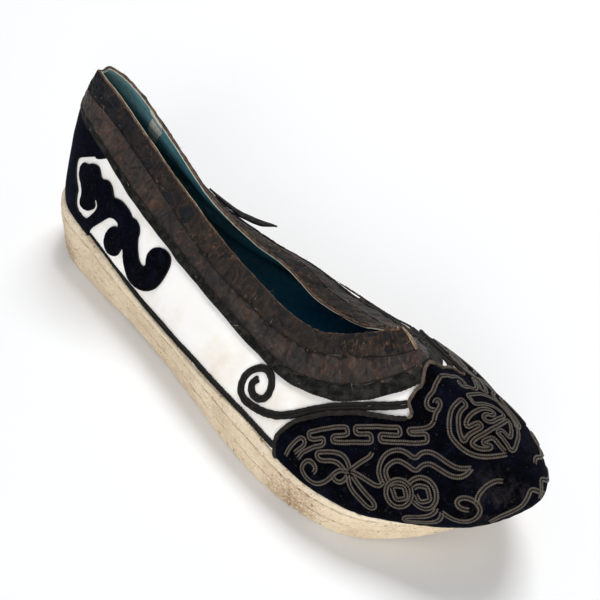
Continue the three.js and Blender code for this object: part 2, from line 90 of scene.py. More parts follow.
turn = 2 * lastRib


def station(share):
    return (share - 0.5) * shoe["length"] + shift


def mirrored(rows):
    return np.concatenate([rows, rows[-2:0:-1] * (1, -1, 1)])


feet = np.stack([station(ribRows[:, 0]), -ribRows[:, 1] * shoe["half"], ribRows[:, 2] * shoe["seat"]], 1)
rims = np.stack([station(ribRows[:, 3]), -ribRows[:, 4] * shoe["gap"], ribRows[:, 5] * shoe["heel"]], 1)
neighbours = np.concatenate([feet[1:2] * (1, -1, 1), feet, feet[-2:-1] * (1, -1, 1)])
sideways = neighbours[2:] - neighbours[:-2]
outwards = np.stack([sideways[:, 1], -sideways[:, 0], 0 * sideways[:, 0]], 1)
outwards /= np.linalg.norm(outwards, axis=1, keepdims=True)
lifts = np.array([0, 0, 1.0])
ribLoops = [mirrored(rows) for rows in (
    feet,
    feet + outwards * ribRows[:, 6:7] * shoe["half"] + lifts * ribRows[:, 7:8] * shoe["heel"],
    rims + outwards * ribRows[:, 8:9] * shoe["half"] - lifts * ribRows[:, 9:10] * shoe["heel"],
    rims)]
soleEdge = np.stack([station(soleRows[:, 0]), -soleRows[:, 1] * shoe["half"],
                     soleRows[:, 2] * shoe["spring"] + soleRows[:, 3] * shoe["arch"]], 1)
seamRows = soleEdge + (feet - soleEdge) * soleRows[:, 5:6]
seamRows[:, 2] = soleRows[:, 4] * shoe["stack"]
floorLoop, seamLoop = mirrored(soleEdge), mirrored(seamRows)


# a smooth curve from b to c, where a comes before and d after
def eased(a, b, c, d, w):
    return b + 0.5 * w * (c - a + w * (2 * a - 5 * b + 4 * c - d + w * (3 * (b - c) + d - a)))


# a place on a closed smooth curve through its rows
def onLoop(rows, rib):
    rib = np.asarray(rib, float) % turn
    i = np.floor(rib).astype(int)
    return eased(*(rows[(i + k - 1) % turn] for k in range(4)), (rib - i)[..., None])


def ribPoint(rib, up):
    p, q, r, s = (onLoop(rows, rib) for rows in ribLoops)
    u = np.asarray(up, float)[..., None]
    v = 1 - u
    return v ** 3 * p + 3 * v * v * u * q + 3 * v * u * u * r + u ** 3 * s


def unit(vectors):
    return vectors / (np.linalg.norm(vectors, axis=-1, keepdims=True) + 1e-12)


# share of the way from one value to another
def part(value, low, high):
    return np.clip((value - low) / (high - low), 0, 1)


# length along a line of points
def runAlong(points):
    return np.concatenate([[0], np.cumsum(np.linalg.norm(np.diff(points, axis=0), axis=1))])


# the same rib on the near side
def nearRib(rib):
    return np.minimum(rib % turn, turn - rib % turn)


def planNormal(rib):
    t = onLoop(ribLoops[0], rib + 0.05) - onLoop(ribLoops[0], rib - 0.05)
    return unit(np.stack([t[..., 1], -t[..., 0], 0 * t[..., 0]], -1))


def skinNormal(rib, up):
    step = 0.02
    low = np.clip(up - step, 0, 1 - 2 * step)
    climb = ribPoint(rib, low + 2 * step) - ribPoint(rib, low)
    along = ribPoint(rib + step, up) - ribPoint(rib - step, up)
    return unit(np.cross(along, climb))


footLine = onLoop(ribLoops[0], np.linspace(0, lastRib, 200))


def seatHeight(x):
    return np.interp(x, footLine[:, 0], footLine[:, 2])


# inward direction; where the collar's sides all but touch it turns up along the middle plane
def inward(rib, up, point):
    normal = -skinNormal(rib, up)
    stand = 0.00005 * np.minimum(nearRib(rib), np.abs(rib % turn - lastRib))
    room = np.maximum(0, np.abs(point[..., 1]) - stand) / (wallDepth + shoe["wall"])
    rest = np.sqrt(np.maximum(0, 1 - room ** 2) / (normal[..., 0] ** 2 + normal[..., 2] ** 2 + 1e-9))
    turned = np.stack([normal[..., 0] * rest, np.sign(normal[..., 1]) * room, normal[..., 2] * rest], -1)
    return np.where((np.abs(normal[..., 1]) > room)[..., None], turned, normal)


footShare = 0.06


# a point at a depth under the skin; at the foot the depth is measured in plan
def skin(rib, up, depth):
    rib, up, depth = np.broadcast_arrays(*(np.asarray(v, float) for v in (rib, up, depth)))
    point = ribPoint(rib, up)
    low = 1 - part(up, 0, footShare)[..., None]
    point = point + depth[..., None] * ((1 - low) * inward(rib, up, point) - low * planNormal(rib))
    point[..., 2] = np.maximum(point[..., 2], seatHeight(point[..., 0]) + shoe["clear"] * (1 + up))
    return point


def alongRibs(values, rib):
    return np.interp(nearRib(rib), np.arange(lastRib + 1), values)


# share up each rib at a distance down from the rim
edgeRibs = np.linspace(0, turn, 481)
downShares = np.linspace(1, 0, 101)
fromRim = [runAlong(ribPoint(rib + 0 * downShares, downShares)) for rib in edgeRibs]


def downFromRim(rib, distance):
    shares = [np.interp(d, row, downShares) for d, row in zip(distance(edgeRibs), fromRim)]
    return np.interp(rib % turn, edgeRibs, shares)


bindingShares = [1.3, 1.2, 1.1, 1.0, 1.0, 1.0, 0.95, 0.9, 0.95, 1.0, 0.95, 0.9, 0.9]
bandShares = [1.15, 1.15, 1.2, 1.15, 0.98, 0.9, 0.92, 0.98, 1.13, 1.23, 1.18, 1.05, 0.9]
trimShares = [0.6, 0.6, 0.6, 0.75, 0.85, 0.8, 0.7, 0.8, 1.1, 1.35, 1.35, 1.3, 1.3]


def bindingEdge(rib):
    return downFromRim(rib, lambda r: shoe["binding"] * alongRibs(bindingShares, r))


# the far tape hangs a little lower beside the instep
farSag = dict(rib=17.1, reach=0.6, share=0.1)


def bandWidth(rib):
    sag = farSag["share"] * np.exp(-((rib % turn - farSag["rib"]) / farSag["reach"]) ** 2)
    return shoe["band"] * (alongRibs(bandShares, rib) + sag)


def bandEdge(rib):
    return downFromRim(rib, bandWidth)


def trimEdge(rib):
    return downFromRim(rib, lambda r: bandWidth(r) - shoe["trim"] * alongRibs(trimShares, r))


# smooth noise in space, always the same
def grainAt(points, size, seed=0):
    cell = points / size + seed * 17.3
    base = np.floor(cell)
    into = cell - base
    into = into * into * (3 - 2 * into)
    total = 0
    for corner in np.ndindex(2, 2, 2):
        at = base + corner
        value = np.sin(at @ np.array([12.9898, 78.233, 37.719])) * 43758.5453
        weight = np.prod(np.where(corner, into, 1 - into), axis=-1)
        total = total + weight * (value - np.floor(value))
    return total * 2 - 1


# soft troughs: each runs between two places on the skin, with a depth and a width
def creaseAt(points, creases):
    relief = np.zeros(points.shape[:-1])
    for ribA, upA, ribB, upB, depth, width in creases:
        a, b = ribPoint(ribA, upA), ribPoint(ribB, upB)
        run = b - a
        share = part((points - a) @ run, 0, run @ run)
        away = np.linalg.norm(points - a - share[..., None] * run, axis=-1)
        relief = relief + depth * np.exp(-(away / width) ** 2) * (0.35 + 0.65 * np.sin(math.pi * share))
    return relief


# selects these pieces alone, the first one active
def alone(*pieces):
    bpy.ops.object.select_all(action="DESELECT")
    for piece in reversed(pieces):
        piece.select_set(True)
        bpy.context.view_layer.objects.active = piece


def named(name):
    piece = bpy.context.object
    piece.name = piece.data.name = name
    return piece


def places(mesh):
    flat = np.empty(len(mesh.vertices) * 3, np.float32)
    mesh.vertices.foreach_get("co", flat)
    return flat.reshape(-1, 3).astype(float)


def setPlaces(mesh, points):
    mesh.vertices.foreach_set("co", points.astype(np.float32).ravel())
    mesh.update()


def merged(piece, turnOut=False):
    alone(piece)
    bpy.ops.object.mode_set(mode="EDIT")
    bpy.ops.mesh.select_all(action="SELECT")
    bpy.ops.mesh.remove_doubles(threshold=1e-6)
    if turnOut:
        bpy.ops.mesh.normals_make_consistent(inside=False)
    bpy.ops.object.mode_set(mode="OBJECT")


def thickened(piece, thickness, offset):
    alone(piece)
    thick = piece.modifiers.new("thick", "SOLIDIFY")
    thick.thickness = thickness
    thick.offset = offset
    bpy.ops.object.modifier_apply(modifier="thick")


# lays a flat grid on the shoe: place gives a point for each share along and across it
def drape(name, cells, place, close=False, mark=None):
    alone()
    bpy.ops.mesh.primitive_grid_add(x_subdivisions=cells[0], y_subdivisions=cells[1], size=1)
    piece = named(name)
    mesh = piece.data
    flat = places(mesh) + 0.5
    a, b = flat[:, 0], flat[:, 1]
    setPlaces(mesh, place(a, b))
    # its own map in metres: along the middle, and across at the middle
    line = np.linspace(0, 1, 200)
    middle = np.full(200, 0.5)
    runs = [runAlong(place(*pair)) for pair in ((line, middle), (middle, line))]
    corners = np.empty(len(mesh.loops), np.int32)
    mesh.loops.foreach_get("vertex_index", corners)
    layout = np.stack([np.interp(a, line, runs[0])[corners], np.interp(b, line, runs[1])[corners]], 1)
    mesh.uv_layers.active.data.foreach_set("uv", layout.astype(np.float32).ravel())
    if mark:
        layer = mesh.attributes.new("mark", "FLOAT", "POINT")
        layer.data.foreach_set("value", mark(b).astype(np.float32).ravel())
    if close:
        merged(piece)
    bpy.ops.object.shade_smooth()
    return piece


# round the section of a strip: lower edge, up the outer face, over, and down the inner face
def around(b, rows):
    turns = np.array([0, 1, round(rows * 0.62), round(rows * 0.62) + 1, rows]) / rows
    return np.interp(b, turns, [0, 0, 1, 1, 0]), np.interp(b, turns, [1, 0, 0, 1, 1])


def joined(name, pieces):
    alone(*pieces)
    bpy.ops.object.join()
    return named(name)


def finished(piece, slot, finish, *nodes):
    piece.data.materials.clear()
    piece.data.materials.append(finish)
    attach(piece, "root")
    if nodes:
        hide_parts(*nodes)
    print(piece.name, len(piece.data.polygons), "faces")
    return piece


# finishes
def newFinish(name, colour, roughness, **sockets):
    finish = bpy.data.materials.new(name)
    finish.use_nodes = True
    shader = finish.node_tree.nodes["Principled BSDF"]
    shader.inputs["Base Color"].default_value = (*colour, 1)
    shader.inputs["Roughness"].default_value = roughness
    for socket, value in sockets.items():
        shader.inputs[socket.replace("_", " ")].default_value = value
    return finish, shader, whereOn(shader)


# an input takes a value, or a link from another node's output
def fed(socket, value):
    if isinstance(value, bpy.types.NodeSocket):
        socket.id_data.links.new(value, socket)
    else:
        socket.default_value = value


# a node in the same tree as the node or socket given
def addNode(source, kind, inputs, **settings):
    node = source.id_data.nodes.new(kind)
    for key, value in settings.items():
        setattr(node, key, value)
    for key, value in inputs.items():
        fed(node.inputs[key], value)
    return node


def whereOn(shader, kind="Object", scale=(1, 1, 1), turned=(0, 0, 0)):
    place = addNode(shader, "ShaderNodeTexCoord", {}).outputs[kind]
    return addNode(shader, "ShaderNodeMapping", {
        "Vector": place, "Scale": scale, "Rotation": turned}).outputs["Vector"]


def noiseOn(place, scale, detail=3, roughness=0.55, distortion=0.0):
    return addNode(place, "ShaderNodeTexNoise", {
        "Vector": place, "Scale": scale, "Detail": detail, "Roughness": roughness,
        "Distortion": distortion}).outputs["Fac"]


def waveOn(place, scale, distortion, direction="X", fine=1.0):
    return addNode(place, "ShaderNodeTexWave", {
        "Vector": place, "Scale": scale, "Distortion": distortion, "Detail Scale": fine},
        bands_direction=direction).outputs["Fac"]


def crackOn(place, scale):
    return addNode(place, "ShaderNodeTexVoronoi", {"Vector": place, "Scale": scale},
                   feature="DISTANCE_TO_EDGE").outputs["Distance"]


def lengthwise(place):
    return addNode(place, "ShaderNodeSeparateXYZ", {0: place}).outputs[0]


def ranged(value, low, high):
    return addNode(value, "ShaderNodeMapRange", {0: value, 1: low, 2: high}).outputs[0]


def ramp(value, *stops):
    node = addNode(value, "ShaderNodeValToRGB", {"Fac": value})
    while len(node.color_ramp.elements) < len(stops):
        node.color_ramp.elements.new(0.5)
    for element, (at, colour) in zip(node.color_ramp.elements, stops):
        element.position = at
        element.color = (*(colour if isinstance(colour, tuple) else (colour,) * 3), 1)
    return node.outputs["Color"]


def mixed(share, low, high):
    node = addNode(share, "ShaderNodeMix", {}, data_type="RGBA")
    for at, value in ((0, share), (6, low), (7, high)):
        fed(node.inputs[at], (*value, 1) if isinstance(value, tuple) else value)
    return node.outputs[2]


def worked(first, second, operation="MULTIPLY"):
    return addNode(first, "ShaderNodeMath", {0: first, 1: second}, operation=operation).outputs[0]


# colour, then layers of relief: height, strength, distance
def dressed(shader, colour, *layers):
    fed(shader.inputs["Base Color"], colour)
    under = {}
    for height, strength, distance in layers:
        bump = addNode(shader, "ShaderNodeBump", {
            "Height": height, "Strength": strength, "Distance": distance, **under})
        under = {"Normal": bump.outputs["Normal"]}
    fed(shader.inputs["Normal"], under["Normal"])


# a soft spot round a place on the shoe, broken up by noise
def spot(here, place, radius, noise):
    away = addNode(here, "ShaderNodeVectorMath", {0: here, 1: place}, operation="DISTANCE").outputs["Value"]
    return worked(ranged(away, radius, 0.0), noise)


def velvetFinish():
    finish, shader, here = newFinish("velvet", (0.004, 0.006, 0.014), 1.0, Specular_IOR_Level=0.03,
                                     Sheen_Weight=0.05, Sheen_Roughness=0.4, Sheen_Tint=(0.2, 0.25, 0.5, 1))
    patches = noiseOn(here, 110, 5, 0.65)
    wearAndSheen = noiseOn(here, 420, 4, 0.7)
    blue = ramp(patches, (0.42, (0.0008, 0.0009, 0.0016)), (0.66, (0.0022, 0.0029, 0.008)))
    worn = noiseOn(here, 230, 5, 0.75, 0.6)
    blue = mixed(ramp(worn, (0.56, 0.0), (0.72, 0.7)), blue, (0.0075, 0.01, 0.02))
    # lighter grey blotches: part rubbed wear, part painted sheen on the pile
    colour = mixed(ramp(wearAndSheen, (0.6, 0.0), (0.8, 0.6)), blue, (0.03, 0.031, 0.04))
    # brown lint
    lint = noiseOn(here, 1300, 2, 0.5)
    colour = mixed(ramp(lint, (0.7, 0.0), (0.76, 0.9)), colour, (0.06, 0.048, 0.042))
    # rubbed bare near the tip
    bare = spot(here, (0.119, -0.012, 0.036), 0.013, ramp(worn, (0.45, 0.0), (0.62, 1.0)))
    colour = mixed(bare, colour, (0.022, 0.019, 0.02))
    dressed(shader, colour, (worn, 0.6, 0.001), (noiseOn(here, 2600, 2), 0.7, 0.0004))
    return finish


def cottonFinish():
    finish, shader, here = newFinish("whiteCotton", (0.8, 0.77, 0.73), 0.92, Specular_IOR_Level=0.2,
                                     Sheen_Weight=0.1)
    smudge = noiseOn(here, 38, 5, 0.6)
    cream = ramp(smudge, (0.5, (0.93, 0.915, 0.89)), (0.74, (0.78, 0.7, 0.59)))
    warp, weft = (waveOn(whereOn(shader, "UV"), 780, 1.0, direction, 4) for direction in "XY")
    dressed(shader, cream, (noiseOn(here, 95, 4), 0.25, 0.0012), (worked(warp, weft), 0.25, 0.0002))
    return finish


# short sharp wrinkles that cross each other
def crinkle(here):
    folds = ramp(crackOn(here, 170), (0.0, 0.0), (0.16, 1.0))
    return worked(folds, noiseOn(here, 330, 3, 0.6, 1.5))


# worn strokes across a strip, where its threads have gone pale
def frayed(shader, here):
    strokes = noiseOn(whereOn(shader, "UV", (1.0, 0.3, 1.0)), 1100, 4, 0.65, 0.5)
    worn = noiseOn(here, 70, 3, 0.6)
    return worked(ramp(strokes, (0.54, 0.0), (0.66, 0.8)), ramp(worn, (0.45, 0.12), (0.62, 1.0)))


def brocadeFinish():
    finish, shader, here = newFinish("brocade", (0.06, 0.04, 0.03), 0.5, Specular_IOR_Level=0.35)
    patches = noiseOn(here, 75, 6, 0.65, 0.4)
    rust = noiseOn(here, 160, 5, 0.7, 0.8)
    ground = ramp(patches, (0.38, (0.006, 0.0055, 0.0055)), (0.5, (0.02, 0.0135, 0.011)),
                  (0.64, (0.048, 0.029, 0.021)))
    colour = mixed(ramp(rust, (0.55, 0.0), (0.7, 0.8)), ground, (0.1, 0.04, 0.021))
    colour = mixed(frayed(shader, here), colour, (0.15, 0.068, 0.036))
    # faint woven figure
    figure = crackOn(whereOn(shader, "UV", (1, 1, 1), (0, 0, 0.5)), 210)
    lines = ramp(figure, (0.02, 1.0), (0.07, 0.0))
    colour = mixed(worked(lines, 0.45), colour, (0.012, 0.012, 0.015))
    fed(shader.inputs["Roughness"], ramp(rust, (0.3, 0.48), (0.7, 0.72)))
    threads = waveOn(whereOn(shader, "UV"), 900, 2.0)
    dressed(shader, colour, (crinkle(here), 0.6, 0.0014), (noiseOn(here, 300, 5, 0.75, 1.2), 0.5, 0.001),
            (lines, 0.3, 0.0002), (threads, 0.2, 0.0002))
    return finish


def bindingFinish():
    finish, shader, here = newFinish("binding", (0.02, 0.02, 0.022), 0.72, Specular_IOR_Level=0.2)
    worn = noiseOn(here, 130, 6, 0.7, 0.6)
    ground = ramp(worn, (0.36, (0.006, 0.0062, 0.007)), (0.52, (0.018, 0.014, 0.012)),
                  (0.68, (0.05, 0.03, 0.021)))
    ground = mixed(frayed(shader, here), ground, (0.16, 0.078, 0.044))
    # navy pieces by the heel
    heel = ranged(lengthwise(here), -0.062, -0.085)
    navy = worked(heel, ramp(noiseOn(here, 60, 3), (0.36, 0.0), (0.48, 0.95)))
    # dark slate diamonds with rust borders
    cells = addNode(shader, "ShaderNodeTexVoronoi", {"Vector": here, "Scale": 85}, distance="MANHATTAN")
    chosen = addNode(shader, "ShaderNodeSeparateColor", {0: cells.outputs["Color"]}).outputs[0]
    chosen = ramp(chosen, (0.6, 0.0), (0.62, 1.0))
    inner = ramp(cells.outputs["Distance"], (0.46, 1.0), (0.52, 0.0))
    border = ramp(cells.outputs["Distance"], (0.5, 0.0), (0.53, 0.35), (0.58, 0.0))
    ground = mixed(worked(chosen, border), ground, (0.085, 0.038, 0.022))
    ground = mixed(worked(chosen, inner), ground, (0.008, 0.0098, 0.012))
    colour = mixed(navy, ground, (0.0016, 0.0018, 0.006))
    dressed(shader, colour, (crinkle(here), 0.8, 0.0014), (noiseOn(here, 300, 5, 0.75, 1.0), 0.6, 0.001),
            (noiseOn(here, 1800, 2), 0.3, 0.0003))
    return finish


def tapeFinish():
    finish, shader, here = newFinish("tape", (0.012, 0.013, 0.014), 0.95, Sheen_Weight=0.05,
                                     Sheen_Roughness=0.5, Specular_IOR_Level=0.08)
    worn = noiseOn(here, 320, 5, 0.7)
    colour = ramp(worn, (0.42, (0.004, 0.0041, 0.0043)), (0.66, (0.03, 0.029, 0.027)))
    dressed(shader, colour, (worn, 0.6, 0.0008), (noiseOn(here, 2200, 2), 0.5, 0.0003))
    return finish


def liningFinish():
    finish, shader, here = newFinish("lining", (0.03, 0.12, 0.15), 0.85, Specular_IOR_Level=0.25)
    # painted shade: the lining darkens from the heel towards the toe, where the inside of the shoe lies in
    # shadow
    share = ranged(lengthwise(here), -0.11, 0.01)
    paintedShadeToToe = ramp(share, (0.0, (0.25, 0.4, 0.41)), (0.25, (0.16, 0.34, 0.38)),
                 (0.55, (0.065, 0.26, 0.34)), (1.0, (0.006, 0.12, 0.23)))
    stain = noiseOn(here, 55, 5, 0.65)
    colour = mixed(ramp(stain, (0.45, 0.0), (0.7, 0.5)), paintedShadeToToe, (0.05, 0.09, 0.095))
    dressed(shader, colour, (noiseOn(here, 120, 4, 0.6, 1.0), 0.6, 0.0022),
            (noiseOn(here, 1500, 2), 0.2, 0.0003))
    return finish


def soleFinish(name, clean, dull):
    finish, shader, here = newFinish(name, clean, 0.9, Specular_IOR_Level=0.15)
    wash = noiseOn(here, 70, 6, 0.7)
    colour = ramp(wash, (0.34, dull), (0.62, clean))
    # brown flecks and pits in rows
    flecks = noiseOn(whereOn(shader, "Object", (1, 1, 2.2)), 520, 3, 0.6)
    colour = mixed(ramp(flecks, (0.61, 0.0), (0.68, 0.8)), colour, (0.26, 0.155, 0.075))
    grime = noiseOn(here, 1000, 4, 0.7)
    colour = mixed(ramp(grime, (0.5, 0.0), (0.7, 0.5)), colour, (0.46, 0.33, 0.2))
    # worn seam lines between the plies
    plies = addNode(shader, "ShaderNodeAttribute", {}, attribute_name="mark").outputs["Fac"]
    wander = worked(noiseOn(here, 90, 4, 0.7), 0.3)
    rows = worked(worked(plies, wander, "ADD"), 1.0, "PINGPONG")
    broken = ramp(noiseOn(here, 150, 4, 0.7), (0.4, 0.1), (0.54, 0.85))
    seam = worked(ramp(rows, (0.0, 1.0), (0.06, 0.0)), broken)
    colour = mixed(seam, colour, (0.22, 0.14, 0.075))
    for place, radius in (((-0.103, -0.026, 0.003), 0.011), ((0.062, -0.044, 0.004), 0.016),
                          ((-0.03, 0.036, 0.004), 0.014), ((-0.119, 0.004, 0.01), 0.008)):
        stain = spot(here, place, radius, ramp(grime, (0.35, 0.0), (0.6, 1.0)))
        colour = mixed(stain, colour, (0.24, 0.14, 0.07))
    dressed(shader, colour, (noiseOn(here, 260, 5, 0.7), 0.5, 0.0012),
            (noiseOn(whereOn(shader, "Object", (1, 1, 4)), 900, 3, 0.6), 0.35, 0.0005),
            (flecks, 0.25, -0.0006))
    return finish


def cordFinish(name, light, dark, metal, spacing):
    finish, shader, here = newFinish(name, light, 0.55, Metallic=metal, Specular_IOR_Level=0.4)
    twist = waveOn(whereOn(shader, "UV"), spacing, 1.5)
    wear = noiseOn(here, 500, 4, 0.7)
    colour = mixed(ramp(wear, (0.35, 0.0), (0.65, 0.8)), light, dark)
    colour = mixed(ramp(twist, (0.0, 0.75), (0.35, 0.0)), colour, (0.008, 0.007, 0.007))
    dressed(shader, colour, (twist, 0.6, 0.0004))
    return finish


def plainFinish(name, colour, other, roughness=0.9):
    finish, shader, here = newFinish(name, colour, roughness, Specular_IOR_Level=0.25)
    shade = ramp(noiseOn(here, 400, 4, 0.7), (0.35, colour), (0.68, other))
    dressed(shader, shade, (noiseOn(here, 1600, 3), 0.5, 0.0004))
    return finish


velvet, whiteCotton, brocade = velvetFinish(), cottonFinish(), brocadeFinish()
binding, tape, lining = bindingFinish(), tapeFinish(), liningFinish()
soleCotton = soleFinish("soleCotton", (0.77, 0.65, 0.48), (0.63, 0.5, 0.345))
plyCotton = soleFinish("plyCotton", (0.8, 0.7, 0.54), (0.66, 0.54, 0.39))
blackBraid = plainFinish("blackBraid", (0.0045, 0.0042, 0.004), (0.013, 0.0115, 0.0105))
goldCord = cordFinish("goldCord", (0.125, 0.1, 0.076), (0.052, 0.041, 0.034), 0.15, 480)
couching = plainFinish("couching", (0.014, 0.009, 0.007), (0.004, 0.003, 0.003))
pipingCloth = plainFinish("pipingCloth", (0.022, 0.017, 0.014), (0.005, 0.0045, 0.0042))
headCloth = plainFinish("headCloth", (0.14, 0.105, 0.08), (0.03, 0.022, 0.018))
darkThread = plainFinish("darkThread", (0.005, 0.005, 0.005), (0.016, 0.013, 0.011))
patchCloth = plainFinish("patchCloth", (0.78, 0.72, 0.62), (0.48, 0.48, 0.43))
rustThread = plainFinish("rustThread", (0.165, 0.095, 0.06), (0.022, 0.014, 0.01))
tanThread = plainFinish("tanThread", (0.46, 0.33, 0.22), (0.07, 0.042, 0.028))
paleThread = plainFinish("paleThread", (0.62, 0.56, 0.44), (0.45, 0.38, 0.27))
print("finishes made")


# a stack or sole is drawn from the middle of its underside to the middle of its top
def gathered(point, b, low, high):
    point[:, 1] *= part(b, 0, low) * (1 - part(b, high, 1))
    return point


sole = dict(cells=(640, 64), underside=0.1, top=0.92, plies=4, crest=0.4, groove=0.0005, fine=17,
            fineDepth=0.00012, rough=0.00022, swell=0.0003, pits=0.0006, pitFrom=0.62)


def stackPlace(a, b):
    rib = a * turn
    share = part(b, sole["underside"], sole["top"])
    low, high = onLoop(floorLoop, rib), onLoop(seamLoop, rib)
    point = low + (high - low) * share[:, None]
    ply = (share * sole["plies"]) % 1
    ridge = np.where(ply < sole["crest"], ply / sole["crest"], (1 - ply) / (1 - sole["crest"]))
    rounded = np.sin(np.clip(ridge, 0, 1) * math.pi / 2)
    out = sole["groove"] * (rounded - 1)
    fine = sole["fineDepth"] * np.sin(share * sole["fine"] * math.pi * 2 + 2 * grainAt(point, 0.02, 3))
    rough = sole["rough"] * grainAt(point * (1, 1, 2), 0.0022, 1) + sole["swell"] * grainAt(point, 0.012, 2)
    pits = sole["pits"] * part(grainAt(point * (1, 1, 1.6), 0.0013, 5), sole["pitFrom"], 1)
    side = (share > 0.001) & (share < 0.999)
    point = point + planNormal(rib) * (out + np.where(side, fine + rough - pits, 0))[:, None]
    point[:, 2] = np.maximum(point[:, 2], 0)
    return gathered(point, b, sole["underside"], sole["top"])


def plyMark(b):
    return sole["plies"] * (b - sole["underside"]) / (sole["top"] - sole["underside"])


finished(drape("soleLayers", sole["cells"], stackPlace, close=True, mark=plyMark), "sole_cotton",
         soleCotton, "sole_stack")

ply = dict(cells=(640, 30), underside=0.08, top=0.8, belly=0.0009, rough=0.00016, swell=0.00022,
           sunk=0.0001)


def plyPlace(a, b):
    rib = a * turn
    share = part(b, ply["underside"], ply["top"])
    low = onLoop(seamLoop, rib) - planNormal(rib) * sole["groove"] + (0, 0, shoe["clear"])
    high = onLoop(ribLoops[0], rib)
    point = low + (high - low) * share[:, None]
    out = ply["belly"] * np.sqrt(np.clip(1 - (2 * share - 1) ** 2, 0, 1)) - ply["sunk"]
    rough = ply["rough"] * grainAt(point, 0.003, 7) + ply["swell"] * grainAt(point, 0.01, 8)
    point = point + planNormal(rib) * (out + rough * (share > 0) * (share < 1))[:, None]
    return gathered(point, b, ply["underside"], ply["top"])


finished(drape("soleTopPly", ply["cells"], plyPlace, close=True), "ply_cotton", plyCotton, "sole_top_ply")

sock = dict(cells=(320, 12), inset=0.007, thickness=0.0016, underside=0.4, top=0.6, swell=0.0002)


def sockPlace(a, b):
    rib = a * turn
    point = onLoop(ribLoops[0], rib) - planNormal(rib) * sock["inset"]
    point[:, 2] = seatHeight(point[:, 0]) + shoe["clear"]
    share = part(b, sock["underside"], sock["top"])
    point[:, 2] += share * sock["thickness"] + sock["swell"] * grainAt(point, 0.01, 4) * (share > 0)
    return gathered(point, b, sock["underside"], sock["top"])


finished(drape("sock", sock["cells"], sockPlace, close=True), "lining", lining, "insole")
print("sole made")

# the upper's cloth wall, white outside, with the lining as a second layer inside
wallPiece = dict(cells=(560, 64), depth=0.00085, thickness=0.0012, top=-0.3, swell=0.00018)
panelCreases = [
    (5.2, 0.3, 5.9, 0.42, 0.0005, 0.004), (6.2, 0.25, 6.6, 0.5, 0.0004, 0.004),
    (4.6, 0.15, 5.1, 0.35, 0.0004, 0.005), (3.6, 0.1, 4.2, 0.08, 0.0003, 0.003),
    (8.0, 0.55, 8.8, 0.72, 0.0003, 0.003),
]


def bothSides(creases):
    return creases + [(turn - a, b, turn - c, d, e, f) for a, b, c, d, e, f in creases]


def wallPlace(a, b):
    up, depth = around(b, wallPiece["cells"][1])
    rib = a * turn
    up = up * (bindingEdge(rib) + wallPiece["top"] * (1 - bindingEdge(rib)))
    base = ribPoint(rib, up)
    relief = creaseAt(base, bothSides(panelCreases)) + wallPiece["swell"] * grainAt(base, 0.014, 11)
    return skin(rib, up, wallPiece["depth"] + depth * wallPiece["thickness"] + relief * (depth < 0.5))


finished(drape("upperCloth", wallPiece["cells"], wallPlace, close=True), "white_cotton", whiteCotton, "upper")

# the lining turns over the rim, runs down behind the binding and turns in under the sock
liningPiece = dict(cells=(640, 72), wall=0.0016, swell=0.0003,
                   turns=[0.0, 0.04, 0.08, 0.12, 0.16, 0.2, 0.8, 0.86, 0.88, 0.94, 1.0],
                   ups=[0.975, 0.998, 1.003, 1.003, 0.998, 0.985, 0.008, 0.008, 0.0, 0.0, 0.975],
                   depths=[0.0006, 0.0006, 0.0008, 0.0011, 0.0013, 0.0014, 0.0014, 0.0053, 0.0053,
                           0.001, 0.001])
liningCreases = bothSides([
    (0.8, 0.93, 2.4, 0.91, -0.0012, 0.0007), (2.4, 0.91, 4.6, 0.9, -0.0012, 0.0008),
    (1.0, 0.86, 2.4, 0.84, 0.0012, 0.0012), (2.4, 0.84, 4.6, 0.83, 0.0012, 0.0012),
    (4.6, 0.8, 7.5, 0.84, 0.0008, 0.0016), (2.0, 0.93, 3.4, 0.88, -0.0006, 0.0018),
    (0.4, 0.8, 0.9, 0.95, 0.0008, 0.0015), (1.2, 0.7, 4.4, 0.66, -0.0008, 0.002),
])


def liningDepth(rib, up):
    below = (1 - up) / (1 - bindingEdge(rib))
    return liningPiece["wall"] * part(below, 0.7, 1.2)


def liningRelief(rib, up):
    base = ribPoint(rib, up)
    return creaseAt(base, liningCreases) + liningPiece["swell"] * grainAt(base, 0.011, 12)


def liningPlace(a, b):
    up = np.interp(b, liningPiece["turns"], liningPiece["ups"])
    depth = np.interp(b, liningPiece["turns"], liningPiece["depths"])
    rib = a * turn
    return skin(rib, up, depth + liningDepth(rib, up) + liningRelief(rib, up) * part(depth, 0.0011, 0.0014))


finished(drape("liningCloth", liningPiece["cells"], liningPlace, close=True), "lining", lining)
print("upper made")

# toe cap: its edge is a round lobe, a level run, then the lobes of a cloud head
capEdgeRows = np.array([
    (7.7, 0.2), (7.715, 0.26), (7.8, 0.35), (7.98, 0.44), (8.18, 0.513), (8.38, 0.562), (8.7, 0.622),
    (9.01, 0.661), (9.55, 0.7), (10.1, 0.716), (10.55, 0.728), (10.95, 0.735), (11.06, 0.742),
    (11.1, 0.76), (11.1, 0.777), (11.14, 0.792), (11.24, 0.807), (11.36, 0.825), (11.47, 0.832),
    (11.53, 0.842), (11.6, 0.856), (11.7, 0.872), (11.84, 0.886), (12.0, 0.893)])


def smoothed(rows, per=6):
    ends = np.concatenate([2 * rows[:1] - rows[1:2], rows, 2 * rows[-1:] - rows[-2:-1]])
    found = [eased(*ends[i:i + 4], (np.arange(per) / per)[:, None]) for i in range(len(rows) - 1)]
    return np.concatenate(found + [rows[-1:]])


capEdge = smoothed(capEdgeRows)
capEnd = capEdgeRows[0, 0]


def capHeight(rib):
    order = np.maximum.accumulate(capEdge[:, 0] + np.arange(len(capEdge)) * 1e-6)
    return np.interp(nearRib(rib), order, capEdge[:, 1])


capPiece = dict(cells=(640, 72), thickness=0.001, pile=0.00016, nap=0.0001, hem=0.0004)
capRelief = bothSides([
    (11.8, 0.62, 12.0, 0.8, -0.0003, 0.004), (9.6, 0.62, 11.0, 0.66, -0.0003, 0.003),
])


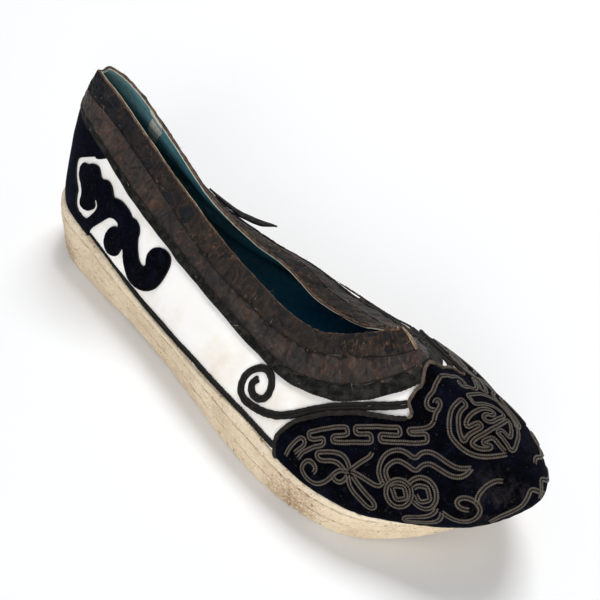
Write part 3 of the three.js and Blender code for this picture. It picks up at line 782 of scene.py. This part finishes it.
def capPlace(a, b):
    up, depth = around(b, capPiece["cells"][1])
    rib = capEnd + a * (turn - 2 * capEnd)
    share = up * capHeight(rib)
    base = ribPoint(rib, share)
    pile = capPiece["pile"] * grainAt(base, 0.006, 21) + capPiece["nap"] * grainAt(base, 0.002, 22)
    hem = capPiece["hem"] * part(up, 0.96, 1)
    relief = hem - pile - creaseAt(base, capRelief)
    return skin(rib, share, depth * capPiece["thickness"] + relief * (depth < 0.5))


finished(drape("toeCapVelvet", capPiece["cells"], capPlace), "velvet", velvet, "toe_cap")

# collar: binding, brocade and tape, creased by wear
collar = dict(cells=900, thickness=0.0008, hem=0.0002, folds=0.00024, grain=0.0002)
collarCreases = bothSides([
    (7.2, 1.0, 7.6, 0.7, 0.0008, 0.001), (7.5, 1.0, 7.7, 0.74, -0.0006, 0.0012),
    (7.9, 1.0, 8.2, 0.72, 0.0008, 0.0011), (8.4, 1.0, 8.5, 0.78, 0.0007, 0.001),
    (8.8, 0.98, 9.3, 0.76, 0.0008, 0.0012), (9.4, 0.96, 9.6, 0.8, -0.0005, 0.0012),
    (10.3, 0.98, 10.2, 0.8, 0.0006, 0.0012), (6.6, 1.0, 6.9, 0.72, 0.0006, 0.0012),
    (6.0, 0.98, 6.4, 0.66, 0.0006, 0.0014), (5.3, 0.97, 5.7, 0.68, 0.0006, 0.0013),
    (4.5, 0.96, 4.9, 0.66, 0.0006, 0.0012), (3.7, 0.96, 4.1, 0.7, 0.0007, 0.0012),
    (2.9, 0.93, 3.3, 0.7, 0.0006, 0.0013), (2.2, 0.92, 2.6, 0.66, 0.0006, 0.0012),
    (1.5, 0.92, 1.8, 0.72, 0.0007, 0.0012), (0.8, 0.92, 1.0, 0.74, 0.0006, 0.0012),
    (7.0, 0.8, 8.0, 0.79, 0.0004, 0.0008), (5.4, 0.84, 6.6, 0.78, 0.0004, 0.0009),
    (9.0, 0.84, 10.6, 0.87, 0.0005, 0.0009), (2.4, 0.84, 4.0, 0.82, 0.0004, 0.0009),
])


def crumpled(points, seed):
    fine = grainAt(points, 0.0042, seed)
    return collar["folds"] * (1 - 2 * np.abs(fine)) + collar["grain"] * grainAt(points, 0.0016, seed + 1)


# a strip stands proud of its neighbours, or tucks its edges under theirs
def strip(name, low, high, seed, ends=(0, turn), rows=26, proud=0.0, tuckLow=0.0, tuckHigh=0.0):
    def place(a, b):
        up, depth = around(b, rows)
        rib = ends[0] + a * (ends[1] - ends[0])
        bottom, top = low(rib), high(rib)
        share = bottom + up * (top - bottom)
        base = ribPoint(rib, share)
        relief = -creaseAt(base, collarCreases) + crumpled(base, seed) + proud
        for edge, tuck in ((1 - part(up, 0, 0.1), tuckLow), (part(up, 0.9, 1), tuckHigh)):
            relief = relief - edge * (tuck or collar["hem"])
        return skin(rib, share, depth * collar["thickness"] - relief * np.where(depth < 0.5, 1, 0.3))
    return drape(name, (collar["cells"], rows), place, close=ends[1] - ends[0] >= turn)


def overCap(rib, share):
    return np.where(nearRib(rib) < capEnd, share, np.maximum(share, capHeight(rib)))


overlap = 0.02
trimEnd = lastRib
finished(strip("collarBinding", bindingEdge, lambda r: 1 + 0 * r, 31, proud=0.0002),
         "binding", binding, "collar_binding")
finished(strip("collarBand", lambda r: overCap(r, trimEdge(r) - overlap),
               lambda r: bindingEdge(r) + overlap, 33, tuckLow=0.0006, tuckHigh=0.0007),
         "brocade", brocade, "collar_band")
finished(strip("collarTrim", lambda r: overCap(r, bandEdge(r)), lambda r: np.maximum(
    trimEdge(r), overCap(r, bandEdge(r)) + 0.004), 35, (-trimEnd, trimEnd), 14, proud=0.0001),
    "tape", tape, "collar_trim")
print("collar made")

# loose end of tape on the far side: rib, lower edge, upper edge, lift
flapRows = np.array([
    (3.45, 0.47, 0.52, 0.0), (3.7, 0.445, 0.555, 0.1), (4.0, 0.43, 0.58, 0.3),
    (4.3, 0.44, 0.59, 0.55), (4.6, 0.47, 0.58, 0.85), (4.8, 0.515, 0.54, 1.0)])
flap = dict(cells=(60, 24), lift=0.005, thickness=0.0008, proud=0.0008, swell=0.0003)


def flapPlace(a, b):
    up, depth = around(b, flap["cells"][1])
    row = a * (len(flapRows) - 1)
    rib, low, high, off = (np.interp(row, np.arange(len(flapRows)), flapRows[:, k]) for k in range(4))
    share = low + up * (high - low)
    base = ribPoint(turn - rib, share)
    lift = off * flap["lift"] * (1 - up ** 2 * (1 - a ** 3)) + flap["swell"] * grainAt(base, 0.004, 41)
    return skin(turn - rib, share, depth * flap["thickness"] - shoe["clear"] - flap["proud"] - lift)


flapPiece = drape("looseTape", flap["cells"], flapPlace)
merged(flapPiece, turnOut=True)
finished(flapPiece, "tape", tape, "band_flap")


# cords: a route of rib and share up is laid on the skin and drawn at an even step
def laidPath(route, step=0.0005, lift=0.0, soft=3, curved=True):
    rows = np.array(route, float)
    if curved and len(rows) > 2:
        rows = smoothed(rows, 8)
    run = runAlong(ribPoint(*rows.T))
    at = np.linspace(0, run[-1], max(4, int(run[-1] / step)) + 1)
    rows = np.stack([np.interp(at, run, column) for column in rows.T], 1)
    for _ in range(soft):
        rows[1:-1] = (rows[:-2] + 2 * rows[1:-1] + rows[2:]) / 4
    return skin(*rows.T, -lift), skinNormal(*rows.T)


def acrossFrom(centres, normals):
    return unit(np.cross(normals, unit(np.gradient(centres, axis=0))))


def tube(name, centres, normals, width, height, sides=6, taper=0.0, beads=0.0, rough=0.0):
    run = runAlong(centres)[-1]
    across = acrossFrom(centres, normals)
    proud = np.cross(unit(np.gradient(centres, axis=0)), across)
    last = len(centres) - 1

    def place(a, b):
        i = np.clip(np.round(a * last).astype(int), 0, last)
        angle = 2 * math.pi * b
        end = np.clip(0.55 + np.minimum(a, 1 - a) * last, 0, 1)
        if taper:
            end = np.clip((1 - a) / taper, 0.1, 1)
        if beads:
            end = end * (0.75 + 0.35 * np.abs(np.sin(math.pi * a * run / beads)))
        out = across[i] * (np.cos(angle) * width / 2 * end)[:, None]
        out = out + proud[i] * (np.sin(angle) * height / 2 * end)[:, None]
        if rough:
            out = out * (1 + rough * grainAt(centres[i] + out, 0.001, 61))[:, None]
        return centres[i] + out
    return drape(name, (last, sides), place, close=True)


def beside(centres, normals, distance):
    return centres + acrossFrom(centres, normals) * distance


def twin(centres, normals, cord, **more):
    return [tube("cord", beside(centres, normals, side * cord["apart"]), normals, cord["width"],
                 cord["height"], **more) for side in (-1, 1)]


# the same route on the near and on the far side
def bothWays(route):
    return {"near": route, "far": [(turn - rib, up) for rib, up in route]}


# couched double cord, with the stitched line between
couple = dict(step=0.0006, apart=0.00051, width=0.00068, height=0.00052, lift=0.0002)
stitch = dict(width=0.0005, height=0.0005, beads=0.0009, sunk=0.0001)
goldTubes, stitchTubes = [], []


def coupleCord(route, curved=True, soft=3):
    centres, normals = laidPath(route, couple["step"], couple["lift"], soft, curved)
    goldTubes.extend(twin(centres, normals, couple))
    stitchTubes.append(tube("stitch", centres - normals * stitch["sunk"], normals, stitch["width"],
                            stitch["height"], 4, beads=stitch["beads"]))


# places on the cap: hundredths of a rib along, thousandths of the way up
cordWork = dict(
    hook=[(796, 253), (805, 331), (818, 404), (830, 453), (838, 464), (840, 440), (829, 393), (816, 336)],
    wingOuter=[(976, 415), (977, 474), (991, 534), (1012, 578), (1040, 606), (1058, 606), (1072, 588),
               (1088, 612), (1104, 616), (1113, 600), (1120, 568), (1128, 544), (1142, 536)],
    wingInner=[(989, 440), (991, 490), (1007, 531), (1028, 558), (1044, 553), (1059, 534), (1077, 562),
               (1093, 571), (1103, 549), (1111, 522), (1120, 508), (1131, 514), (1142, 536)],
    ribbonTop=[(924, 448), (922, 482), (913, 500), (893, 487), (866, 445), (862, 427), (868, 408),
               (892, 444), (906, 446), (916, 415)],
    ribbonArm=[(924, 440), (947, 495), (971, 539), (978, 560)],
    spiralTail=[(922, 430), (904, 414), (892, 378), (879, 323), (865, 266), (852, 222), (841, 206),
                (832, 222), (828, 266), (835, 323), (845, 362), (855, 362), (857, 330), (850, 296)],
    smallLoop=[(888, 365), (890, 341), (899, 340), (908, 366), (917, 406)],
    toCoin=[(926, 435), (938, 430), (951, 415), (962, 401), (971, 407), (980, 436)],
    ribbonLow=[(918, 410), (916, 365), (919, 321), (927, 282), (934, 240), (940, 230), (947, 255),
               (947, 297), (939, 339), (932, 378), (926, 414)],
    coinOne=[(1028, 444), (1023, 406), (1012, 361), (999, 320), (986, 297), (977, 303), (973, 334),
             (975, 375), (983, 417), (996, 449), (1011, 466), (1023, 465), (1028, 444)],
    coinTwo=[(1029, 462), (1039, 483), (1055, 504), (1068, 508), (1076, 492), (1076, 460), (1068, 415),
             (1055, 370), (1040, 336), (1028, 325), (1020, 340), (1017, 362)],
    ribbonEnd=[(1055, 352), (1043, 308), (1019, 258), (989, 224), (982, 200), (985, 172), (1023, 206),
               (1046, 262), (1059, 326)],
    tendril=[(1059, 328), (1064, 295), (1075, 261), (1091, 253), (1106, 278), (1117, 325), (1119, 378),
             (1113, 408), (1103, 411), (1093, 386), (1095, 352), (1104, 339)],
    toeFork=[(1207, 250), (1198, 300), (1187, 354), (1176, 315), (1163, 271), (1149, 256), (1133, 240),
             (1117, 209)],
    headRing=[(1147, 755), (1139, 760), (1139, 778), (1149, 799), (1162, 812), (1174, 830), (1190, 842),
              (1200, 846)],
    headCurl=[(1136, 721), (1144, 744), (1153, 757), (1160, 770), (1162, 785), (1156, 787), (1152, 776)],
)
squareWork = dict(
    fret=[(823, 318), (834, 383), (857, 456), (879, 500), (880, 534), (859, 495), (850, 484), (848, 513),
          (877, 568), (906, 609), (933, 632), (934, 601), (899, 565), (897, 537), (944, 578), (984, 602),
          (987, 637), (952, 616), (952, 645), (1007, 674), (1068, 700), (1063, 670), (1008, 647),
          (1004, 617), (1061, 644), (1110, 651), (1116, 681), (1086, 680), (1086, 697), (1118, 699),
          (1128, 706), (1136, 721)],
    squareOne=[(990, 410), (993, 424), (1015, 435), (1008, 371), (987, 343), (990, 410)],
    squareTwo=[(1033, 440), (1044, 462), (1063, 466), (1053, 394), (1029, 365), (1031, 410)],
)
# the tendrils' upper ends differ on the two sides
nearBranch = [(1117, 365), (1127, 412), (1142, 448), (1156, 461), (1163, 450)]
farBranch = [(1225, 425), (1234, 430), (1246, 405), (1260, 365), (1283, 360)]
roundel = [
    (1193, 545), (1180, 555), (1164, 568), (1154, 585), (1148, 608), (1145, 637), (1145, 668), (1151, 698),
    (1158, 721), (1167, 742), (1177, 755), (1189, 762), (1202, 763), (1201, 742), (1187, 738), (1175, 726),
    (1167, 707), (1160, 681), (1156, 657), (1155, 637), (1165, 654), (1178, 662), (1193, 665), (1195, 680),
    (1184, 683), (1174, 681), (1174, 692), (1182, 705), (1195, 713), (1212, 709), (1230, 691), (1242, 664),
    (1245, 644), (1233, 655), (1225, 676), (1212, 683), (1211, 669), (1217, 654), (1238, 630), (1261, 595),
    (1263, 622), (1257, 653), (1242, 691), (1222, 724), (1224, 737), (1228, 751), (1261, 703), (1277, 661),
    (1286, 624), (1290, 588), (1284, 564), (1275, 545), (1265, 531), (1246, 530), (1226, 538), (1205, 541),
    (1208, 575), (1210, 601), (1211, 621), (1223, 607), (1223, 590), (1223, 571), (1236, 567), (1250, 569),
    (1258, 578), (1234, 614), (1207, 640), (1183, 642), (1169, 636), (1162, 624), (1164, 608), (1169, 597),
    (1180, 589), (1182, 600), (1176, 609), (1177, 621), (1185, 622), (1194, 619), (1195, 601), (1194, 577),
    (1194, 556)]
placeScale = np.array([100.0, 1000.0])
for work, curved, soft in ((cordWork, True, 3), (squareWork, False, 2)):
    for route in work.values():
        for way in bothWays(route / placeScale).values():
            coupleCord(way, curved, soft)
coupleCord(nearBranch / placeScale)
coupleCord(farBranch / placeScale)
coupleCord(roundel / placeScale, soft=1)
finished(joined("goldCordWork", goldTubes), "braid", goldCord)
finished(joined("couchingLine", stitchTubes), "braid", couching)
print("cord work made")

# piping along the edge of the cap
capLine = [(capEnd, 0.0), (capEnd - 0.01, 0.1)] + [tuple(row) for row in capEdgeRows]
headStart = 13


def piping(name, line, width, height, finish):
    pipes = [tube("pipe", *laidPath(way, 0.0007, 0.0001, 2), width, height, 10, rough=0.25)
             for way in bothWays(line).values()]
    finished(joined(name, pipes), "braid", finish)


# black round the lobe, worn brown round the cloud head
piping("capPiping", capLine[:headStart + 1], 0.0017, 0.0013, pipingCloth)
piping("headPiping", capLine[headStart:], 0.0012, 0.0012, headCloth)

# spiral braids and the cord over the sole
scrollRoute = [
    (11.1, 0.783), (10.7, 0.773), (9.89, 0.741), (9.17, 0.702), (8.6, 0.638), (8.07, 0.53),
    (7.62, 0.422), (7.22, 0.328), (6.95, 0.289), (6.83, 0.34), (6.85, 0.45), (7.04, 0.557),
    (7.29, 0.614), (7.47, 0.59), (7.47, 0.51), (7.31, 0.428), (7.14, 0.391), (7.03, 0.419),
    (7.06, 0.474), (7.16, 0.52)]
scroll = dict(apart=0.0007, width=0.0015, height=0.0013, lift=-0.0007)
for side, way in bothWays(scrollRoute).items():
    pair = twin(*laidPath(way, 0.0007, scroll["lift"]), scroll, sides=10, rough=0.22)
    finished(joined("scrollBraid_" + side, pair), "braid", blackBraid, "scroll_braid_" + side)

footRoute = [
    (2.82, 0.045), (3.4, 0.05), (4.0, 0.06), (4.6, 0.085), (5.2, 0.11), (5.75, 0.15),
    (6.4, 0.155), (6.8, 0.16), (7.15, 0.175), (7.5, 0.205), (7.68, 0.225)]
footCord = dict(width=0.001, around=0.00026, pitch=0.0026, lift=-0.0006)
lowerRoute = [(rib, up - np.interp(rib, [3.4, 4.4, 5.4, 7.7], [0, 0.052, 0.046, 0.04]))
              for rib, up in footRoute if rib > 3]


def twisted(centres, normals):
    across = acrossFrom(centres, normals)
    made = []
    for start in (0, math.pi):
        angle = (2 * math.pi * runAlong(centres) / footCord["pitch"] + start)[:, None]
        wound = centres + footCord["around"] * (across * np.cos(angle) + normals * np.sin(angle))
        made.append(tube("strand", wound, normals, footCord["width"], footCord["width"], 8, rough=0.25))
    return made


for side in ("near", "far"):
    strands = []
    for route in (footRoute, lowerRoute):
        strands += twisted(*laidPath(bothWays(route)[side], 0.0007, footCord["lift"]))
    finished(joined("footCord_" + side, strands), "braid", blackBraid, "foot_cord_" + side)
print("cords made")

# seams between the strips, and the worn edge of the rim
edging = dict(step=0.0008, rim=0.0009, thread=0.0004, beads=0.0016, rimBeads=0.0031, ends=(-11.6, 11.6))


def collarLine(share, depth, ends=(0, turn), wander=0.0, seed=51):
    ribs = np.linspace(*ends, 1200)
    run = runAlong(ribPoint(ribs, share(ribs)))
    ribs = np.interp(np.linspace(0, run[-1], int(run[-1] / edging["step"])), run, ribs)
    ups = share(ribs)
    line = ribPoint(ribs, ups)
    ups = ups + wander * grainAt(line, 0.006, seed)
    return skin(ribs, ups, depth + wander * 0.02 * grainAt(line, 0.003, seed + 1)), skinNormal(ribs, ups)


def rimShare(rib):
    return 1.002 + 0 * rib


def seam(share, width, height, *line):
    return tube("seam", *collarLine(share, *line), width, height, 5, beads=edging["beads"])


seamTubes = [
    seam(lambda r: bindingEdge(r) - 0.004, 0.0005, 0.0004, -0.0001),
    seam(lambda r: overCap(r, trimEdge(r) + 0.002), 0.0005, 0.0004, -0.0002, edging["ends"]),
    seam(lambda r: overCap(r, bandEdge(r)), 0.0008, 0.0008, 0.0002, edging["ends"], 0.004)]
finished(joined("collarSeams", seamTubes), "tape", darkThread)
rimLine = collarLine(rimShare, 0.0006, wander=0.004)
finished(tube("wornRim", *rimLine, edging["rim"], edging["rim"], 8, beads=edging["rimBeads"], rough=0.35),
         "binding", rustThread)
threadLine = collarLine(rimShare, 0.0014, wander=0.006, seed=55)
finished(tube("rimThread", *threadLine, edging["thread"], edging["thread"], 5), "binding", paleThread)

# the collar's joint at the throat, folded over and frayed
joint = [(12.1, 0.998), (12.04, 0.982), (11.97, 0.966), (11.92, 0.95), (11.88, 0.934)]
centres, normals = laidPath(joint, 0.0004, 0.0005)
jointTubes = [tube("joint", centres, normals, 0.0006, 0.0007, beads=0.0013),
              tube("joint", beside(centres, normals, 0.0006), normals, 0.0004, 0.0005, beads=0.0009)]
finished(joined("throatJoint", jointTubes), "binding", tanThread)

# loose fibres: a seat on the skin, then a short curl away from it
fibre = dict(rim=210, seam=80, joint=10, thickness=0.00011, rimLength=(0.0006, 0.0024),
             seamLength=(0.0008, 0.0024), jointLength=(0.001, 0.003), nearRim=0.7)
draws = np.random.default_rng(11)


def fibreTube(rib, up, depth, length):
    seat = skin(rib, up, depth)
    out = skinNormal(rib, up)
    lean = unit(out * draws.uniform(0.2, 0.8) + draws.normal(0, 0.7, 3) + (0, 0, 0.2))
    bend = draws.normal(0, 0.5, 3)
    s = np.linspace(0, 1, 7)[:, None]
    centres = seat + length * s * (lean + bend * s * s)
    normals = unit(np.cross(np.gradient(centres, axis=0), bend + 0.01))
    return tube("fibre", centres, normals, fibre["thickness"], fibre["thickness"], 3, 0.8)


rimFibres = [fibreTube(draws.uniform(0, turn), 1.0, 0.0004, draws.uniform(*fibre["rimLength"]))
             for _ in range(fibre["rim"])]
finished(joined("rimFibres", rimFibres), "binding", tanThread)
paleFibres = []
for _ in range(fibre["seam"]):
    rib = draws.uniform(-11, 11)
    edge = bindingEdge if draws.random() < fibre["nearRim"] else bandEdge
    up = edge(rib) + draws.uniform(-0.01, 0.06)
    paleFibres.append(fibreTube(rib, up, -0.0003, draws.uniform(*fibre["seamLength"])))
for _ in range(fibre["joint"]):
    rib, up = np.array(joint[0]) + draws.random() * np.subtract(joint[-1], joint[0])
    paleFibres.append(fibreTube(rib, up, -0.0006, draws.uniform(*fibre["jointLength"])))
finished(joined("paleFibres", paleFibres), "binding", paleThread)
print("edges made")

# a patch of pale cloth on the far lining near the heel
patch = dict(cells=(24, 30), rib=21.46, width=0.19, slant=0.35, low=0.55, high=0.999, depth=0.0017,
             thickness=0.0003)


def patchPlace(a, b):
    up = patch["low"] + b * (patch["high"] - patch["low"])
    rib = patch["rib"] + (a - 0.5) * patch["width"] * (1 + 0.6 * b) + patch["slant"] * (1 - b) ** 1.5
    return skin(rib, up, patch["depth"] + liningDepth(rib, up) + liningRelief(rib, up))


patchPiece = drape("liningPatch", patch["cells"], patchPlace)
thickened(patchPiece, patch["thickness"], 0)
finished(patchPiece, "lining", patchCloth)

# heel velvet: the border behind the heel, its white channel and the cloud scroll
borderRows = [
    (2.3, 0.6), (2.18, 0.55), (2.08, 0.542), (2.0, 0.516), (1.9, 0.485), (1.79, 0.452),
    (1.71, 0.42), (1.72, 0.389), (1.79, 0.357), (1.89, 0.325), (2.01, 0.298), (2.11, 0.279),
    (2.18, 0.26), (2.22, 0.222), (2.27, 0.186), (2.34, 0.148), (2.47, 0.125), (2.58, 0.132),
    (2.67, 0.15), (2.72, 0.2), (2.75, 0.252), (2.76, 0.296), (2.72, 0.33), (2.65, 0.346),
    (2.59, 0.346)]
scrollRows = [
    (2.62, 0.326), (2.68, 0.306), (2.69, 0.275), (2.65, 0.24), (2.59, 0.213), (2.51, 0.198),
    (2.42, 0.198), (2.37, 0.218), (2.34, 0.257), (2.31, 0.285), (2.25, 0.306), (2.18, 0.326),
    (2.08, 0.339), (2.02, 0.351), (1.95, 0.376), (1.91, 0.405), (1.93, 0.439), (1.97, 0.452),
    (2.04, 0.461), (2.08, 0.468), (2.13, 0.493), (2.21, 0.511), (2.28, 0.519), (2.36, 0.508),
    (2.44, 0.488), (2.51, 0.487), (2.56, 0.507), (2.63, 0.513), (2.72, 0.503), (2.81, 0.48),
    (2.87, 0.468), (2.91, 0.48), (2.97, 0.496), (3.08, 0.505), (3.17, 0.506), (3.25, 0.503),
    (3.32, 0.491), (3.37, 0.503), (3.44, 0.506), (3.52, 0.493), (3.58, 0.468), (3.63, 0.43),
    (3.71, 0.393), (3.82, 0.352), (3.91, 0.331), (4.0, 0.334), (4.02, 0.36), (3.93, 0.409),
    (3.91, 0.471), (3.97, 0.521), (4.09, 0.555), (4.24, 0.557), (4.34, 0.523), (4.4, 0.456),
    (4.43, 0.367), (4.4, 0.287), (4.29, 0.209), (4.11, 0.141), (3.91, 0.118), (3.77, 0.162),
    (3.64, 0.224), (3.53, 0.282), (3.52, 0.188), (3.43, 0.13), (3.33, 0.108), (3.24, 0.134),
    (3.19, 0.175), (3.16, 0.239), (3.17, 0.301), (3.21, 0.335), (3.255, 0.347), (3.26, 0.366),
    (3.2, 0.376), (3.12, 0.371), (3.04, 0.349), (3.0, 0.312), (2.94, 0.235), (2.83, 0.108),
    (2.79, 0.0)]
heelPiece = dict(perRib=0.021, perUp=0.055, cut=0.0016, thickness=0.001, pile=0.00012, gap=0.004)


def heelOutline():
    side = np.concatenate([smoothed(np.array(borderRows), 5)[:-1], smoothed(np.array(scrollRows), 5)])
    top = np.linspace(0, borderRows[0][0], 24)[:-1]
    top = np.stack([top, bandEdge(top) - heelPiece["gap"]], 1)
    foot = np.stack([np.linspace(scrollRows[-1][0], 0, 40)[1:], np.zeros(39)], 1)
    under = np.minimum(side[:, 1], bandEdge(side[:, 0]) - heelPiece["gap"])
    side[:, 1] = np.where(side[:, 0] < 2.4, under, side[:, 1])
    half = np.concatenate([top, side, foot])
    far = half[::-1][1:-1] * (-1, 1)
    return np.concatenate([half, far])


outline = heelOutline()
alone()
bpy.ops.mesh.primitive_circle_add(vertices=len(outline), fill_type="NGON")
heelVelvet = named("heelVelvet")
mesh = heelVelvet.data
flatScale = np.array([heelPiece["perRib"], heelPiece["perUp"], 1.0])
flatPlaces = np.column_stack([outline, 0 * outline[:, 0]]) * flatScale
setPlaces(mesh, flatPlaces)
bpy.ops.object.mode_set(mode="EDIT")
bpy.ops.mesh.select_all(action="SELECT")
bpy.ops.mesh.quads_convert_to_tris(ngon_method="BEAUTY")
for axis in (0, 1):
    reach = np.abs(flatPlaces[:, axis]).max()
    start = -reach if axis == 0 else 0.0
    for offset in np.arange(start + heelPiece["cut"] / 2, reach, heelPiece["cut"]):
        bpy.ops.mesh.select_all(action="SELECT")
        place = [0.0, 0.0, 0.0]
        place[axis] = float(offset)
        bpy.ops.mesh.bisect(plane_co=place, plane_no=(float(axis == 0), float(axis == 1), 0.0))
bpy.ops.object.mode_set(mode="OBJECT")
merged(heelVelvet)
flat = places(mesh) / flatScale
rib, up = flat[:, 0], np.clip(flat[:, 1], 0, 1)
setPlaces(mesh, skin(rib, up, -heelPiece["pile"] * grainAt(ribPoint(rib, up), 0.006, 21)))
merged(heelVelvet, turnOut=True)
backFace = min(mesh.polygons, key=lambda face: face.center.x)
if backFace.normal.x > 0:
    mesh.flip_normals()
thickened(heelVelvet, heelPiece["thickness"], -1)
bpy.ops.object.shade_smooth_by_angle(angle=math.radians(50))
finished(heelVelvet, "velvet", velvet, "heel_velvet")

# thin worn cord round the velvet's outline
edges = [tube("edge", *laidPath(bothWays(rows)[side], 0.0007, -0.0003, 2), 0.00045, 0.0007, 5, beads=0.0009)
         for side in ("near", "far") for rows in (borderRows[2:], scrollRows[:-1])]
finished(joined("heelPiping", edges), "braid", darkThread)
print("heel made")

# plain pale floor and soft studio light
bpy.ops.mesh.primitive_plane_add(size=8, location=(0, 0, -0.0001))
floor = bpy.context.object
floor.name = "floor"
floor.data.materials.append(newFinish("floorFinish", (0.91, 0.92, 0.935), 0.9)[0])
lights = [
    dict(name="key", place=(-0.25, 0.66, 1.48), size=0.6, power=17.5, colour=(1.0, 1.0, 1.0)),
    dict(name="front", place=(0.8, -1.05, 0.38), size=0.9, power=12.5, colour=(1.0, 1.0, 1.0)),
]
for light in lights:
    bpy.ops.object.light_add(type="AREA", location=light["place"])
    lamp = bpy.context.object
    lamp.name = light["name"]
    lamp.data.energy = light["power"]
    lamp.data.size = light["size"]
    lamp.data.color = light["colour"]
    lamp.rotation_euler = (-Vector(light["place"])).to_track_quat("-Z", "Y").to_euler()
world = bpy.data.worlds.new("studio")
bpy.context.scene.world = world
world.use_nodes = True
world.node_tree.nodes["Background"].inputs["Color"].default_value = (1, 1, 1, 1)
world.node_tree.nodes["Background"].inputs["Strength"].default_value = 0.37
bpy.context.scene.view_settings.view_transform = "Standard"
print("studio made")
